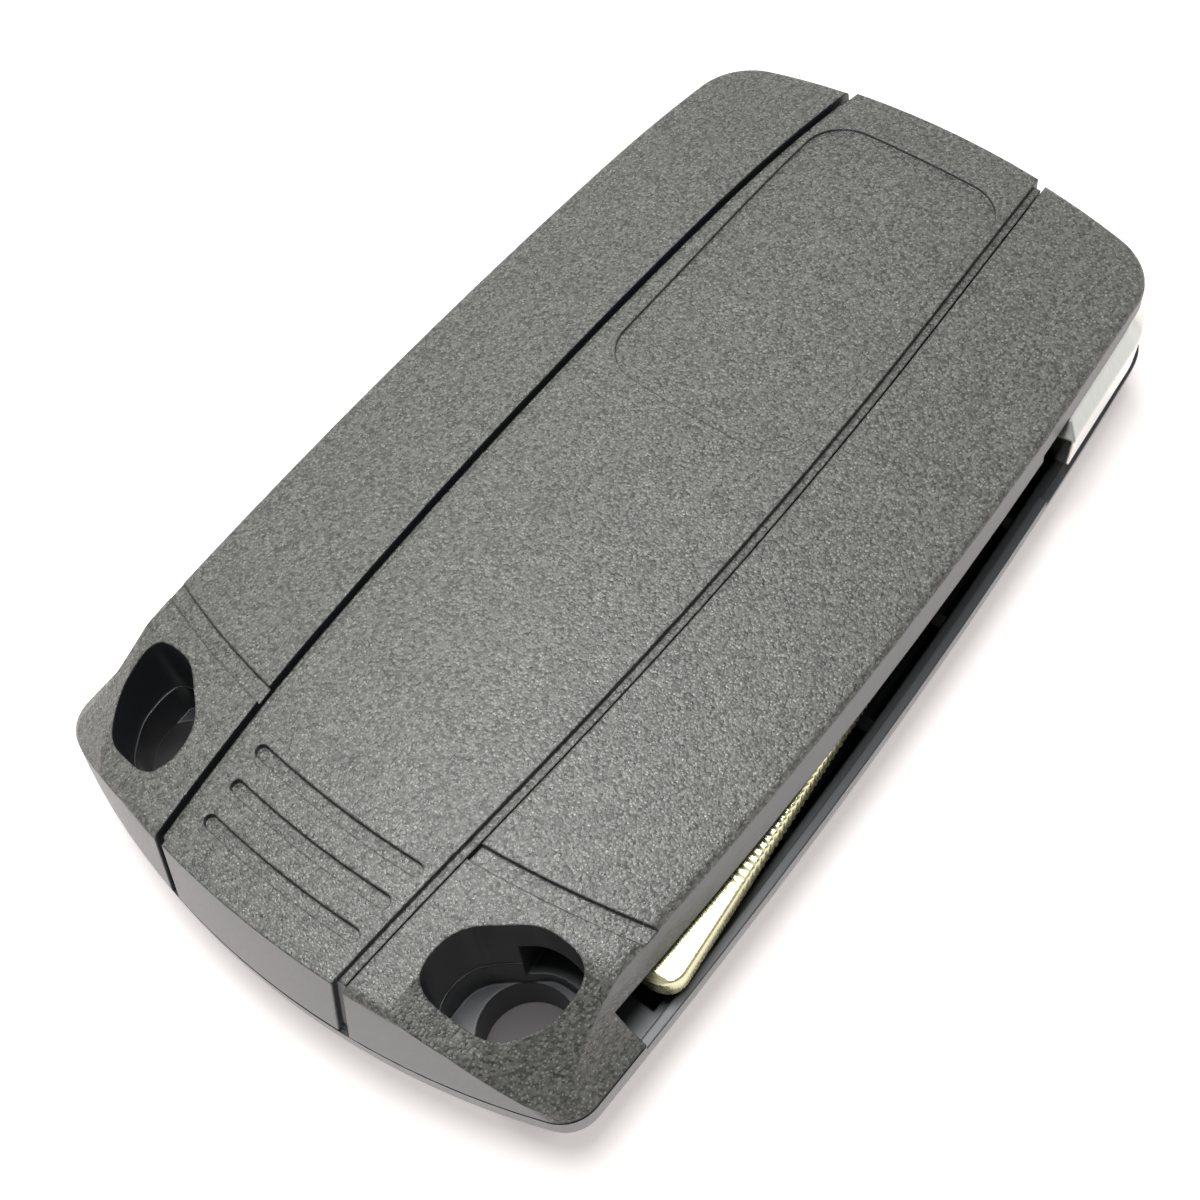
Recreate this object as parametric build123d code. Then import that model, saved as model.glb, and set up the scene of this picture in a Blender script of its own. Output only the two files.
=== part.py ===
"""Flip key remote shell: an empty two-part case with a folding key blade.

The case lies on its front face, back up.  X runs across the case with the blade on the +X side,
Y runs along it with the pivot at the far (+Y) end and the keyring corners at the near (-Y) end,
Z is up.  The origin is the middle of the footprint.  All sizes are in millimetres.
"""

import os
from math import asin, cos, radians, sin, sqrt

from build123d import *

# Case
thickness = 14.4          # front face to the top of the crown
seam_height = 7.2         # parting plane between the two halves
wall = 1.3
roof = 1.5
floor = 1.5
seam_length_far = 36.7    # middle of the far end, at the parting plane
seam_length_near = 36.7   # middle of the near end, at the parting plane
seam_half_width = 20.75   # widest, at the parting plane
seam_far_radius = 60.0
seam_near_radius = 48.0
seam_far_corner = 4.5
seam_near_corner = 2.6
tight_corner = 0.5        # least corner radius inside the walls
seam_rebate = 0.3         # shadow line round the parting plane

# Walls of the back half, as four outlines over the parting plane
wall_levels = (0, 1.2, 2.6, 8.2)
side_leans = (0, 0.85, 1.35, 2.45)
side_widest_ys = (-13.0, -8.0, -4.0, 9.0)
side_radii = (485.0, 440.0, 400.0, 900.0)
end_lean = 0.195          # per mm of height
top_far_radius = 97.0
top_near_radius = 56.0
corner_loss = 0.04        # corner radius lost per mm of height
top_edge_round = 0.7

# Walls of the front half
front_shoulder = 4.7      # upright from here to the parting plane
front_taper = 14.0        # degrees, lean under the shoulder
shoulder_round = 6.0
front_edge_round = 1.4
inner_edge_round = 0.4

# Crown of the back
crown_side_radius = 96.5
crown_end_radius = 118.0
crown_flat = 20.0         # half length of the straight part

# Lengthwise channels, and the battery cover between them; insets are from the near end
channel_half_spacing = 9.08
channel_widest_y = 5.0
channel_radius = 395.0
channel_bend_inset = 11.8
channel_end_inset = 1.7
channel_end_half_spacing = 7.1
cover_thickness = 1.5
cover_gap = 0.12          # each side of the parting line
cover_step_width = 0.6
cover_step_depth = 0.45
ledge_thickness = 1.2     # frame of the back shell under the cover

# Grooves and recess on the back; insets are from the near end
groove_depth = 0.42
cross_groove_inset = 11.07
cross_groove_radius = 61.0
cross_groove_half_length = 30.0
cross_groove_width = 1.1
grip_insets = (8.65, 6.3, 3.95)
grip_half_lengths = (5.85, 5.55, 5.4)
grip_radius = 60.0
grip_width = 0.82
grip_shift = 0.3          # along X, from the middle
label_half_width = 7.3
label_low_y = 4.9
label_far_inset = 4.9     # from the far end
label_corner = 3.0
label_bow = 0.5
label_depth = 0.2

# Keyring corners; a place is (in from the side, in from the near end)
facet_place = (2.25, 4.7)
facet_height = 8.6
facet_slopes = (-0.78, 0.52)      # rise along X and Y
shallow_place = (10.85, 4.4)
shallow_height = 13.2
shallow_slopes = (-0.42, 0.362)
channel_side_slopes = (-0.45, 0.1)
opening_places = ((11.0, 3.95), (11.0, 7.7), (7.25, 10.8), (3.75, 10.85), (4.0, 7.1), (5.85, 4.35))
opening_rounds = (0.9, 3.0, 2.2, 0.9, 2.6, 2.2)
opening_taper = 1.0               # degrees
keyring_hole_place = (6.6, 7.1)
keyring_hole_radius = 3.0
keyring_ledge = 4.0               # the round hole runs from the front face to here
ledge_inset = 0.2
keyring_block_place = (12.15, 12.3)

# Blade, head and pivot
pivot_side_inset = 8.25
pivot_far_inset = 7.9
stow_angle = 4.2                  # the folded blade rests this far out from the long axis
blade_tip_inset = 12.5            # from the near end
blade_plane = 8.1                 # middle height of the blade
blade_width = 8.1
blade_thickness = 2.3
blade_groove_width = 3.0
blade_groove_depth = 0.55
blade_groove_ends = (6.0, 4.2)    # from the head and from the tip
blade_tip_round = 1.5
blade_tip_chamfer = 0.5
tang_width = 5.0
tang_start = 3.6                  # pivot to the inner end of the tang
head_half_width = 6.4
head_height = 4.2
head_reach = 9.0                  # pivot to the face that the blade leaves
head_chamfer = 0.9
blade_seat = 0.6                  # depth of the full width blade in the head
pin_radius = 0.75
pin_reach = 6.0
pin_end_gap = 0.1
pin_chamfer = 0.15
upper_stub_radius = 4.4
upper_stub_height = 1.3
lower_stub_radius = 4.6
stub_floor_gap = 0.3
hub_bore_radius = 3.8
hub_top_web = 0.8
washer_thickness = 0.2
washer_radii = (2.2, 4.1)
washer_gap = 0.02
bearing_wall = 1.2
running_gap = 0.05                # radial, on shafts
swing_gap = 0.35                  # round everything that swings with the blade

# Slot and bay for the folded blade
slot_rim = 6.4                    # top of the front shell's rim under the blade
slot_rim_width = 0.6
slot_rim_depth = 1.3
slot_lip = 10.0                   # bottom edge of the back shell over the blade
slot_end_room = 2.65              # past the blade's tip
bay_wall = 1.0
bay_rib = 1.0
bay_rib_pitch = 9.0
bay_rib_count = 5
bay_rib_top = 3.4

# Release button and spring
release_cap_radius = 3.3
release_cap_round = 0.4
release_flange_radius = 3.6
release_flange_height = 0.8
release_recess = 0.25
release_stem_radius = 1.2
release_travel = 1.8
release_stop_gap = 0.3
spring_radius = 3.0
spring_wire = 0.5
spring_turns = 5

# Remote buttons and rubber pad
button_names = ("lock_button", "unlock_button", "trunk_button")
button_far_inset = 28.2           # middle of the first button from the far end
button_near_inset = 22.6          # middle of the last button from the near end
button_spacing = 2.7              # between neighbours
button_width = 11.6
button_corner = 2.8
button_gap = 0.2
button_edge_round = 0.5
button_flange = 0.5
button_flange_height = 0.6
button_recess = 0.25
button_travel = 0.5
flange_gap = 0.1                  # flange to the inside of the floor
pad_gap = 0.05
pad_thickness = 0.8
pad_border = 0.8
pad_support = 0.6                 # width of the rim under the pad
dome_radius = 2.6
dome_height = 0.5

# Battery tray
cell_radius = 8.0
cell_tray_inset = 15.4            # middle of the cell from the near end of the tray
cell_gap = 0.2
tray_wall = 0.8
tray_plate = 0.8
tray_near_inset = 16.3
tray_far_inset = 23.1
tray_left_inset = 11.35
tray_right_inset = 12.85
tray_corner = 1.0
tray_ledge = 1.0
tray_post_radius = 0.9
tray_hole_radius = 2.7
contact_notch = (4.0, 3.0)
window_width = 13.0               # of the opening in the back shell under the cover
window_corner = 2.0
board_gap = 1.3                   # room between the pad and the tray for the remote's board
well_floor = 8.4
well_top = 10.9

# Screws; a place is (from the middle, in from the end)
far_screw_place = (-5.6, 12.1)
near_screw_place = (5.4, 13.7)
screw_radius = 0.8
screw_length = 8.0
screw_point = 0.3
screw_head_radius = 1.5
screw_head_height = 0.8
screw_head_round = 0.3
screw_cross = (1.6, 0.35, 0.4)    # length, width and depth of the cross in the head
screw_web = 1.0                   # under the frame of the back shell
screw_boss_radius = 2.1
screw_gap = 0.1
fit_gap = 0.05

# Worked out from the sizes above
beyond = 3 * seam_length_far
pivot = (seam_half_width - pivot_side_inset, seam_length_far - pivot_far_inset)
blade_reach = (pivot[1] + seam_length_near - blade_tip_inset) / cos(radians(stow_angle))
head_low = blade_plane - head_height / 2
head_high = blade_plane + head_height / 2
stub_top = head_high + upper_stub_height
bore_top = stub_top - hub_top_web
head_sweep = sqrt(head_half_width**2 + head_reach**2) + swing_gap
slot_bottom = slot_rim - slot_rim_depth
first_button_y = seam_length_far - button_far_inset
last_button_y = button_near_inset - seam_length_near
button_pitch = (first_button_y - last_button_y) / (len(button_names) - 1)
button_length = button_pitch - button_spacing
button_ys = [first_button_y - button_pitch * count for count in range(len(button_names))]
flange_low = floor + flange_gap
pad_low = flange_low + button_flange_height + button_travel + pad_gap + dome_height
tray_low = pad_low + pad_thickness + board_gap
tray_left_x, tray_right_x = tray_left_inset - seam_half_width, seam_half_width - tray_right_inset
tray_near_y, tray_far_y = tray_near_inset - seam_length_near, seam_length_far - tray_far_inset
cell_place = (0, tray_near_y + cell_tray_inset)
screw_seat = thickness - cover_thickness - ledge_thickness - screw_web
near_screw_y = near_screw_place[1] - seam_length_near
screw_places = (
    (far_screw_place[0], seam_length_far - far_screw_place[1]),
    (near_screw_place[0], near_screw_y),
    (-near_screw_place[0], near_screw_y),
)


def prism(face, low, high):
    """A flat outline carried straight up from low to high."""
    return extrude(Pos(0, 0, low) * face, high - low)


def corner_place(place):
    """X and Y of a place given by its distances from the side and from the near end."""
    return seam_half_width - place[0], place[1] - seam_length_near


def on_side(shape, side):
    """The right hand shape itself, or its mirror image for the left."""
    return shape if side > 0 else mirror(shape, Plane.YZ)


def outline(half_width, widest_y, side_radius, lengths, end_radii, rounds):
    """Plan of the case: bowed sides and ends, rounded corners; pairs are for the far and near end."""
    def side(y):
        return half_width - (y - widest_y) ** 2 / (2 * side_radius)

    def corner(length, radius, sign):
        x = half_width
        for _ in range(20):
            y = sign * (length - x * x / (2 * radius))
            x = side(y)
        return x, y

    far_x, far_y = corner(lengths[0], end_radii[0], 1)
    near_x, near_y = corner(lengths[1], end_radii[1], -1)
    right = ThreePointArc((near_x, near_y), (half_width, widest_y), (far_x, far_y))
    far = ThreePointArc((far_x, far_y), (0, lengths[0]), (-far_x, far_y))
    left = ThreePointArc((-far_x, far_y), (-half_width, widest_y), (-near_x, near_y))
    near = ThreePointArc((-near_x, near_y), (0, -lengths[1]), (near_x, near_y))
    face = make_face(right + far + left + near)
    face = fillet(face.vertices().sort_by(Axis.Y)[2:], rounds[0])
    return fillet(face.vertices().sort_by(Axis.Y)[:2], rounds[1])


def wall_outline(inset=0.0, level=0):
    """Plan of the back half's walls at one of their levels; the lowest is the parting plane."""
    up = wall_levels[level]
    share = up / wall_levels[-1]
    lengths = (seam_length_far - end_lean * up - inset, seam_length_near - end_lean * up - inset)
    end_radii = (seam_far_radius + share * (top_far_radius - seam_far_radius),
                 seam_near_radius + share * (top_near_radius - seam_near_radius))
    rounds = [max(corner - corner_loss * up - inset, tight_corner)
              for corner in (seam_far_corner, seam_near_corner)]
    return outline(seam_half_width - side_leans[level] - inset, side_widest_ys[level], side_radii[level],
                   lengths, end_radii, rounds)


def walls(inset=0.0):
    """The leaning walls of the back half, closed below at the parting plane."""
    return loft([Pos(0, 0, seam_height + up) * wall_outline(inset, level)
                 for level, up in enumerate(wall_levels)])


def crown(drop=0.0):
    """All under the crowned back lowered by drop: an arc across, swept along a line with curved ends."""
    top = thickness - drop
    reach = seam_half_width + 3
    sag = crown_side_radius - sqrt(crown_side_radius**2 - reach**2)
    turn = asin((seam_length_near + 5 - crown_flat) / crown_end_radius)

    def along(sign, angle):
        return (0, sign * (crown_flat + crown_end_radius * sin(angle)),
                top - crown_end_radius * (1 - cos(angle)))

    path = ThreePointArc(along(-1, turn), along(-1, turn / 2), along(-1, 0))
    path += Line(along(-1, 0), along(1, 0))
    path += ThreePointArc(along(1, 0), along(1, turn / 2), along(1, turn))
    start = Plane(origin=along(-1, turn), x_dir=(1, 0, 0), z_dir=(0, cos(turn), sin(turn)))
    deep = thickness + 2
    section = make_face(ThreePointArc((-reach, sag), (0, 0), (reach, sag))
                        + Polyline((reach, sag), (reach, deep), (-reach, deep), (-reach, sag)))
    return sweep(start * section, path=path)


def sunk(face, depth):
    """What a flat outline takes out of the back to a depth that follows the crown."""
    return prism(face, seam_height, thickness + 1) - crown(depth)


def strip(grow=0.0):
    """Plan of the centre strip between the two channels, grown sideways."""
    bend_y = channel_bend_inset - seam_length_near
    end_y = channel_end_inset - seam_length_near

    def half(y):
        return channel_half_spacing - (y - channel_widest_y) ** 2 / (2 * channel_radius) + grow

    bend = half(bend_y)
    slope = (channel_end_half_spacing + grow - bend) / (end_y - bend_y)
    low, high = -seam_length_near - 2, seam_length_far + 2
    near = bend + slope * (low - bend_y)
    middle = (high + bend_y) / 2
    edge = Line((near, low), (bend, bend_y))
    edge += ThreePointArc((bend, bend_y), (half(middle), middle), (half(high), high))
    other = mirror(edge, Plane.YZ)
    ends = Line((near, low), (-near, low)) + Line((half(high), high), (-half(high), high))
    return make_face(edge + other + ends)


def ring_arc(radius, inset, half_length, width):
    """A groove with round ends along an arc that bulges towards the near end."""
    low_y = inset - seam_length_near
    end_y = low_y + radius - sqrt(radius**2 - half_length**2)
    return SlotArc(ThreePointArc((-half_length, end_y), (0, low_y), (half_length, end_y)), width)


def over_plane(place, height, slopes):
    """Everything over a sloping plane through a place near the keyring corner."""
    x, y = corner_place(place)
    plane = Plane(origin=(x, y, height), z_dir=(-slopes[0], -slopes[1], 1))
    return plane * Box(beyond, beyond, beyond, align=(Align.CENTER, Align.CENTER, Align.MIN))


def facet_cut(side):
    """What the facets take off a keyring corner: a steep plane, and a shallow one by the channel."""
    shallow = over_plane(shallow_place, shallow_height, shallow_slopes)
    shallow &= over_plane(shallow_place, shallow_height, channel_side_slopes)
    return on_side(over_plane(facet_place, facet_height, facet_slopes) + shallow, side)


def opening_outline(side, inset=0.0):
    """Plan of a keyring opening in the back."""
    corners = [corner_place(place) for place in opening_places]
    face = make_face(Polyline(*corners, close=True))
    for (x, y), size in zip(corners, opening_rounds):
        face = fillet(face.vertices().sort_by_distance((x, y, 0))[0], size)
    return on_side(offset(face, -inset) if inset else face, side)


def keyring_block(side):
    """Plan of the solid corner round a keyring opening."""
    x, y = corner_place(keyring_block_place)
    return Pos(side * (x + beyond / 2), y - beyond / 2) * Rectangle(beyond, beyond)


def stowed(shape):
    """Turns a piece from its own frame, blade along -Y, to its place in the case."""
    return Pos(*pivot) * Rot(0, 0, stow_angle) * shape


def bay_outline(grow=0.0):
    """Plan of the room for the folded blade and the head, up to and past the case's wall."""
    half = blade_width / 2 + swing_gap + grow
    end = -blade_reach - slot_end_room - grow
    arm = stowed(make_face(Polyline((-half, 0), (-half, end), (beyond, end), (beyond, 0), close=True)))
    left = pivot[0] - head_half_width - swing_gap - grow
    hub = Pos(*pivot) * Circle(head_sweep + grow)
    hub -= Pos(left - beyond / 2, pivot[1]) * Rectangle(beyond, beyond)
    far = Pos(left + beyond / 2, pivot[1] + beyond / 2) * Rectangle(beyond, beyond)
    return arm + hub + far


def head_room():
    """Plan of the room for the head, open to the side and to the far end."""
    left = pivot[0] - head_half_width - swing_gap
    room = Pos(*pivot) * Circle(head_sweep)
    room += Pos(pivot[0] + beyond / 2, pivot[1]) * Rectangle(beyond, 2 * head_sweep)
    room += Pos(left + beyond / 2, pivot[1] + beyond / 2) * Rectangle(beyond, beyond)
    return room - Pos(left - beyond / 2, pivot[1]) * Rectangle(beyond, 2 * beyond)


def swung_room():
    """Room for the blade and the deeper head, out through the side, the corner and the far end."""
    room = prism(bay_outline(), slot_rim, slot_lip)
    return room + prism(head_room(), head_low - swing_gap, head_high + swing_gap)


def make_head():
    """Hub, neck and stubs of the head, with the bore for the spring and the seat for the blade."""
    plan = Circle(head_half_width) + Pos(0, -head_reach / 2) * Rectangle(2 * head_half_width, head_reach)
    head = prism(plan, head_low, head_high)
    head = chamfer(head.edges().group_by(Axis.Z)[0] + head.edges().group_by(Axis.Z)[-1], head_chamfer)
    head += prism(Circle(upper_stub_radius), head_high, stub_top)
    head += prism(Circle(lower_stub_radius), floor + stub_floor_gap, head_low)
    head -= prism(Circle(hub_bore_radius), 0, bore_top)
    seat = Pos(0, -head_reach) * Rectangle(blade_width + 2 * fit_gap, 2 * blade_seat)
    seat += Pos(0, -(tang_start + head_reach) / 2) * Rectangle(tang_width + 2 * fit_gap,
                                                               head_reach - tang_start)
    half = blade_thickness / 2 + fit_gap
    head -= prism(seat, blade_plane - half, blade_plane + half)
    head -= prism(Pos(0, -pin_reach) * Circle(pin_radius + fit_gap / 2), 0, thickness)
    return stowed(head)


def make_blade():
    """Uncut blank: a flat bar with a rounded tip, a groove along each face and a tang with a pin hole."""
    low = blade_plane - blade_thickness / 2
    high = blade_plane + blade_thickness / 2
    start = head_reach - blade_seat
    plan = Pos(0, -(start + blade_reach) / 2) * Rectangle(blade_width, blade_reach - start)
    blade = prism(fillet(plan.vertices().sort_by(Axis.Y)[:2], blade_tip_round), low, high)
    faces = (blade.edges().group_by(Axis.Z)[0], blade.edges().group_by(Axis.Z)[-1])
    blade = chamfer([edges.sort_by(Axis.Y)[0] for edges in faces], blade_tip_chamfer)
    near, far = head_reach + blade_groove_ends[0], blade_reach - blade_groove_ends[1]
    groove = Pos(0, -(near + far) / 2) * SlotOverall(far - near, blade_groove_width, rotation=90)
    blade -= prism(groove, low - blade_groove_depth, low + blade_groove_depth)
    blade -= prism(groove, high - blade_groove_depth, high + blade_groove_depth)
    tang_end = tang_start + fit_gap
    tang = Pos(0, -(tang_end + head_reach) / 2) * Rectangle(tang_width, head_reach - tang_end)
    blade += prism(tang, low, high)
    blade -= prism(Pos(0, -pin_reach) * Circle(pin_radius + fit_gap / 2), 0, thickness)
    return stowed(blade)


def make_pin():
    """The plain pin through the head and the tang."""
    pin = prism(Pos(0, -pin_reach) * Circle(pin_radius), head_low + pin_end_gap, head_high - pin_end_gap)
    return stowed(chamfer(pin.edges().filter_by(GeomType.CIRCLE), pin_chamfer))


def make_spring():
    """The coil round the button's stem, pressed between its flange and the head."""
    low = flange_low + release_flange_height + spring_wire / 2 + fit_gap
    high = bore_top - spring_wire / 2 - fit_gap
    path = Pos(0, 0, low) * Helix((high - low) / spring_turns, high - low, spring_radius)
    section = Plane(origin=path @ 0, z_dir=path % 0) * Circle(spring_wire / 2)
    return Pos(*pivot) * sweep(section, path=path)


def make_washer():
    """The thin washer over the head."""
    inner, outer = washer_radii
    low = stub_top + washer_gap
    return Pos(*pivot) * prism(Circle(outer) - Circle(inner), low, low + washer_thickness)


def make_release_button():
    """Domed cap in the front face, a flange that keeps it in, and the stem inside the spring."""
    cap = prism(Circle(release_cap_radius), release_recess, flange_low)
    cap = fillet(cap.edges().sort_by(Axis.Z)[0], release_cap_round)
    button = cap + prism(Circle(release_flange_radius), flange_low, flange_low + release_flange_height)
    button += prism(Circle(release_stem_radius), flange_low, bore_top - release_travel - release_stop_gap)
    return Pos(*pivot) * button


def button_plan(grow):
    """Rounded outline of a push button, grown all round."""
    return RectangleRounded(button_width + 2 * grow, button_length + 2 * grow, button_corner + grow)


def make_button(y):
    """A push button with a softened face and a flange behind the case's floor."""
    button = prism(button_plan(0), button_recess, flange_low)
    button = fillet(button.edges().group_by(Axis.Z)[0], button_edge_round)
    button += prism(button_plan(button_flange), flange_low, flange_low + button_flange_height)
    return Pos(0, y) * button


def pad_plan(grow=0.0):
    """Outline of the rubber pad behind the buttons."""
    edge = button_flange + pad_border + grow
    length = first_button_y - last_button_y + button_length
    plan = RectangleRounded(button_width + 2 * edge, length + 2 * edge, button_corner + grow)
    return Pos(0, (first_button_y + last_button_y) / 2) * plan


def make_pad():
    """Rubber pad with one dome over each button."""
    pad = prism(pad_plan(), pad_low, pad_low + pad_thickness)
    for y in button_ys:
        pad += Pos(0, y) * prism(Circle(dome_radius), pad_low - dome_height, pad_low)
    return pad


def tray_plan(x_low, x_high, corner):
    """Rounded outline as long as the tray."""
    plan = RectangleRounded(x_high - x_low, tray_far_y - tray_near_y, corner)
    return Pos((x_low + x_high) / 2, (tray_near_y + tray_far_y) / 2) * plan


def make_tray():
    """Plate over the pad, with the round well that holds the coin cell under the cover."""
    tray = prism(tray_plan(tray_left_x, tray_right_x, tray_corner), tray_low, tray_low + tray_plate)
    well = Pos(*cell_place) * Circle(cell_radius + cell_gap)
    rim = Pos(*cell_place) * Circle(cell_radius + cell_gap + tray_wall)
    tray += prism(rim - well, tray_low, well_top)
    tray += prism(rim, well_floor - tray_plate, well_floor)
    tray -= prism(Pos(*cell_place) * Circle(tray_hole_radius), well_floor - 2 * tray_plate, well_top)
    for angle in (90, 270):
        notch = Pos(*cell_place) * Rot(0, 0, angle) * Pos(cell_radius, 0) * Rectangle(*contact_notch)
        tray -= prism(notch, well_floor, well_top + 1)
    return tray


def make_screw(x, y):
    """A small pan head screw with a cross in its head."""
    top = screw_seat + screw_head_height
    head = prism(Circle(screw_head_radius), screw_seat, top)
    head = fillet(head.edges().sort_by(Axis.Z)[-1], screw_head_round)
    length, width, depth = screw_cross
    for angle in (0, 90):
        head -= prism(Rot(0, 0, angle) * Rectangle(length, width), top - depth, top + 1)
    shank = prism(Circle(screw_radius), screw_seat - screw_length, screw_seat)
    shank = chamfer(shank.edges().sort_by(Axis.Z)[0], screw_point)
    return Pos(x, y) * (head + shank)


def make_screws():
    """The three screws as separate solids."""
    return Compound([make_screw(x, y).solid() for x, y in screw_places])


def make_back():
    """Back half of the case."""
    back = walls() & crown()
    back = fillet(back.edges().filter_by(lambda e: e.center().Z > seam_height + 3), top_edge_round)
    deep = cover_thickness + ledge_thickness
    ledge = prism(strip(ledge_thickness), 0, thickness) - (crown(deep) & walls(deep))
    cavity = (crown(roof) & walls(wall)) - ledge
    for side in (1, -1):
        cavity -= prism(keyring_block(side), 0, thickness)
    for x, y in screw_places:
        cavity -= prism(Pos(x, y) * Circle(screw_boss_radius), 0, thickness)
    socket = upper_stub_radius + running_gap
    cavity -= prism(Pos(*pivot) * Circle(socket + bearing_wall), head_high + swing_gap, thickness)
    cavity -= prism(bay_outline(bay_wall) - bay_outline(), 0, thickness)
    deep = cover_thickness + fit_gap
    back -= prism(strip(cover_gap), seam_height - 1, thickness + 1) - (crown(deep) & walls(deep))
    back -= cavity
    back -= swung_room()
    back -= prism(Pos(*pivot) * Circle(socket), 0, stub_top + washer_thickness + 2 * washer_gap)
    window = Pos(*cell_place) * Circle(cell_radius + cell_gap)
    window += tray_plan(-window_width / 2, window_width / 2, window_corner)
    back -= prism(window, seam_height - 1, thickness)
    for side in (1, -1):
        back -= facet_cut(side)
        back -= extrude(Pos(0, 0, thickness) * opening_outline(side), -thickness, taper=opening_taper)
    back -= sunk(ring_arc(cross_groove_radius, cross_groove_inset, cross_groove_half_length,
                          cross_groove_width), groove_depth)
    for x, y in screw_places:
        back -= prism(Pos(x, y) * Circle(screw_radius + screw_gap), 0, thickness)
        back -= prism(Pos(x, y) * Circle(screw_head_radius + screw_gap), screw_seat, thickness)
    return back


def make_cover():
    """Battery cover: the crowned centre strip with its two end flaps."""
    cover = prism(strip(-cover_gap), seam_height + 2 * fit_gap, thickness + 1) & (walls() & crown())
    cover -= crown(cover_thickness) & walls(cover_thickness)
    edge = prism(strip(1), seam_height - 1, thickness + 1)
    edge -= prism(strip(-cover_step_width), seam_height - 1, thickness + 1)
    cover -= edge - (crown(cover_step_depth) & walls(cover_step_depth))
    low, high, half = label_low_y + label_bow, seam_length_far - label_far_inset, label_half_width
    label = make_face(ThreePointArc((-half, low), (0, label_low_y), (half, low))
                      + Polyline((half, low), (half, high), (-half, high), (-half, low)))
    cover -= sunk(fillet(label.vertices(), label_corner), label_depth)
    for inset, half_length in zip(grip_insets, grip_half_lengths):
        grip = Pos(grip_shift, 0) * ring_arc(grip_radius, inset, half_length, grip_width)
        cover -= sunk(grip, groove_depth)
    cover -= prism(head_room(), head_low - swing_gap, head_high + swing_gap)
    return cover


def front_body(low, inset=0.0):
    """The front half from low up: leaning walls to the shoulder, then upright ones."""
    plan = wall_outline(inset)
    lower = extrude(Pos(0, 0, front_shoulder) * plan, low - front_shoulder, taper=front_taper)
    return lower + prism(plan, front_shoulder, seam_height)


def front_keep():
    """What stands inside the front half: bay walls and ribs, bosses, bearing, supports and posts."""
    keep = prism(bay_outline(bay_wall) - bay_outline(), 0, seam_height)
    keep += prism(bay_outline(bay_wall + tray_ledge) - bay_outline(), 0, tray_low)
    for count in range(bay_rib_count):
        rib_y = pivot[1] - head_sweep - bay_rib - count * bay_rib_pitch
        rib = Pos(beyond / 2, rib_y) * Rectangle(beyond, bay_rib) & bay_outline(bay_wall)
        keep += prism(rib, 0, bay_rib_top)
    for x, y in screw_places:
        keep += prism(Pos(x, y) * Circle(screw_boss_radius), 0, seam_height)
    keep += prism(Pos(*pivot) * Circle(lower_stub_radius + running_gap + bearing_wall), 0, slot_bottom)
    keep += prism(pad_plan() - pad_plan(-pad_support), 0, pad_low)
    for y in (tray_near_y + 2 * tray_post_radius, tray_far_y - 2 * tray_post_radius):
        keep += prism(Pos(tray_left_x + tray_post_radius, y) * Circle(tray_post_radius), 0, tray_low)
    return keep


def make_front():
    """Front half of the case with the button windows, the blade bay and the screw bosses."""
    front = front_body(0)
    front = fillet(front.edges().group_by(Axis.Z)[0], front_edge_round)
    crease = front.edges().filter_by(lambda e: abs(e.center().Z - front_shoulder) < fit_gap
                                     and e.bounding_box().size.Z < fit_gap)
    front = fillet(crease, shoulder_round)
    front -= prism(wall_outline() - wall_outline(seam_rebate), seam_height - seam_rebate, seam_height)
    cavity = front_body(floor, wall)
    cavity = fillet(cavity.edges().group_by(Axis.Z)[0], inner_edge_round)
    cavity += prism(wall_outline(wall), seam_height, seam_height + 1)
    for side in (1, -1):
        cavity -= prism(keyring_block(side), 0, thickness)
    front -= cavity - front_keep()
    front -= swung_room()
    front -= prism(bay_outline() & wall_outline(slot_rim_width), slot_bottom, seam_height)
    front -= prism(Pos(*pivot) * Circle(lower_stub_radius + running_gap), floor, thickness)
    front -= prism(Pos(*pivot) * Circle(release_cap_radius + running_gap), -1, thickness)
    for y in button_ys:
        front -= Pos(0, y) * prism(button_plan(button_gap), -1, floor + 1)
    hole_x, hole_y = corner_place(keyring_hole_place)
    for side in (1, -1):
        front -= prism(Pos(side * hole_x, hole_y) * Circle(keyring_hole_radius), -1, keyring_ledge)
        front -= prism(opening_outline(side, ledge_inset), keyring_ledge, thickness)
    for x, y in screw_places:
        bottom = screw_seat - screw_length - screw_point
        front -= prism(Pos(x, y) * Circle(screw_radius + fit_gap / 2), bottom, thickness)
    return front


parts = {
    "back_shell": make_back,
    "battery_cover": make_cover,
    "front_shell": make_front,
    "flip_head": make_head,
    "key_blade": make_blade,
    "blade_pin": make_pin,
    "flip_spring": make_spring,
    "pivot_washer": make_washer,
    "release_button": make_release_button,
    "button_pad": make_pad,
    "battery_tray": make_tray,
    "case_screws": make_screws,
}
for button_name, button_y in zip(button_names, button_ys):
    parts[button_name] = lambda y=button_y: make_button(y)


if __name__ == "__main__":
    os.makedirs("parts", exist_ok=True)
    for name, make in parts.items():
        export_step(make(), f"parts/{name}.step")
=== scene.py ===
"""Looks of a flip key remote shell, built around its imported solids.

The case lies on its front face with the crowned back up.  X runs across it with the folded blade on
the +X side, Y along it towards the pivot, Z up.  Lengths here are millimetres unless a name says
otherwise, and MM turns them into Blender's metres.
"""

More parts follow.
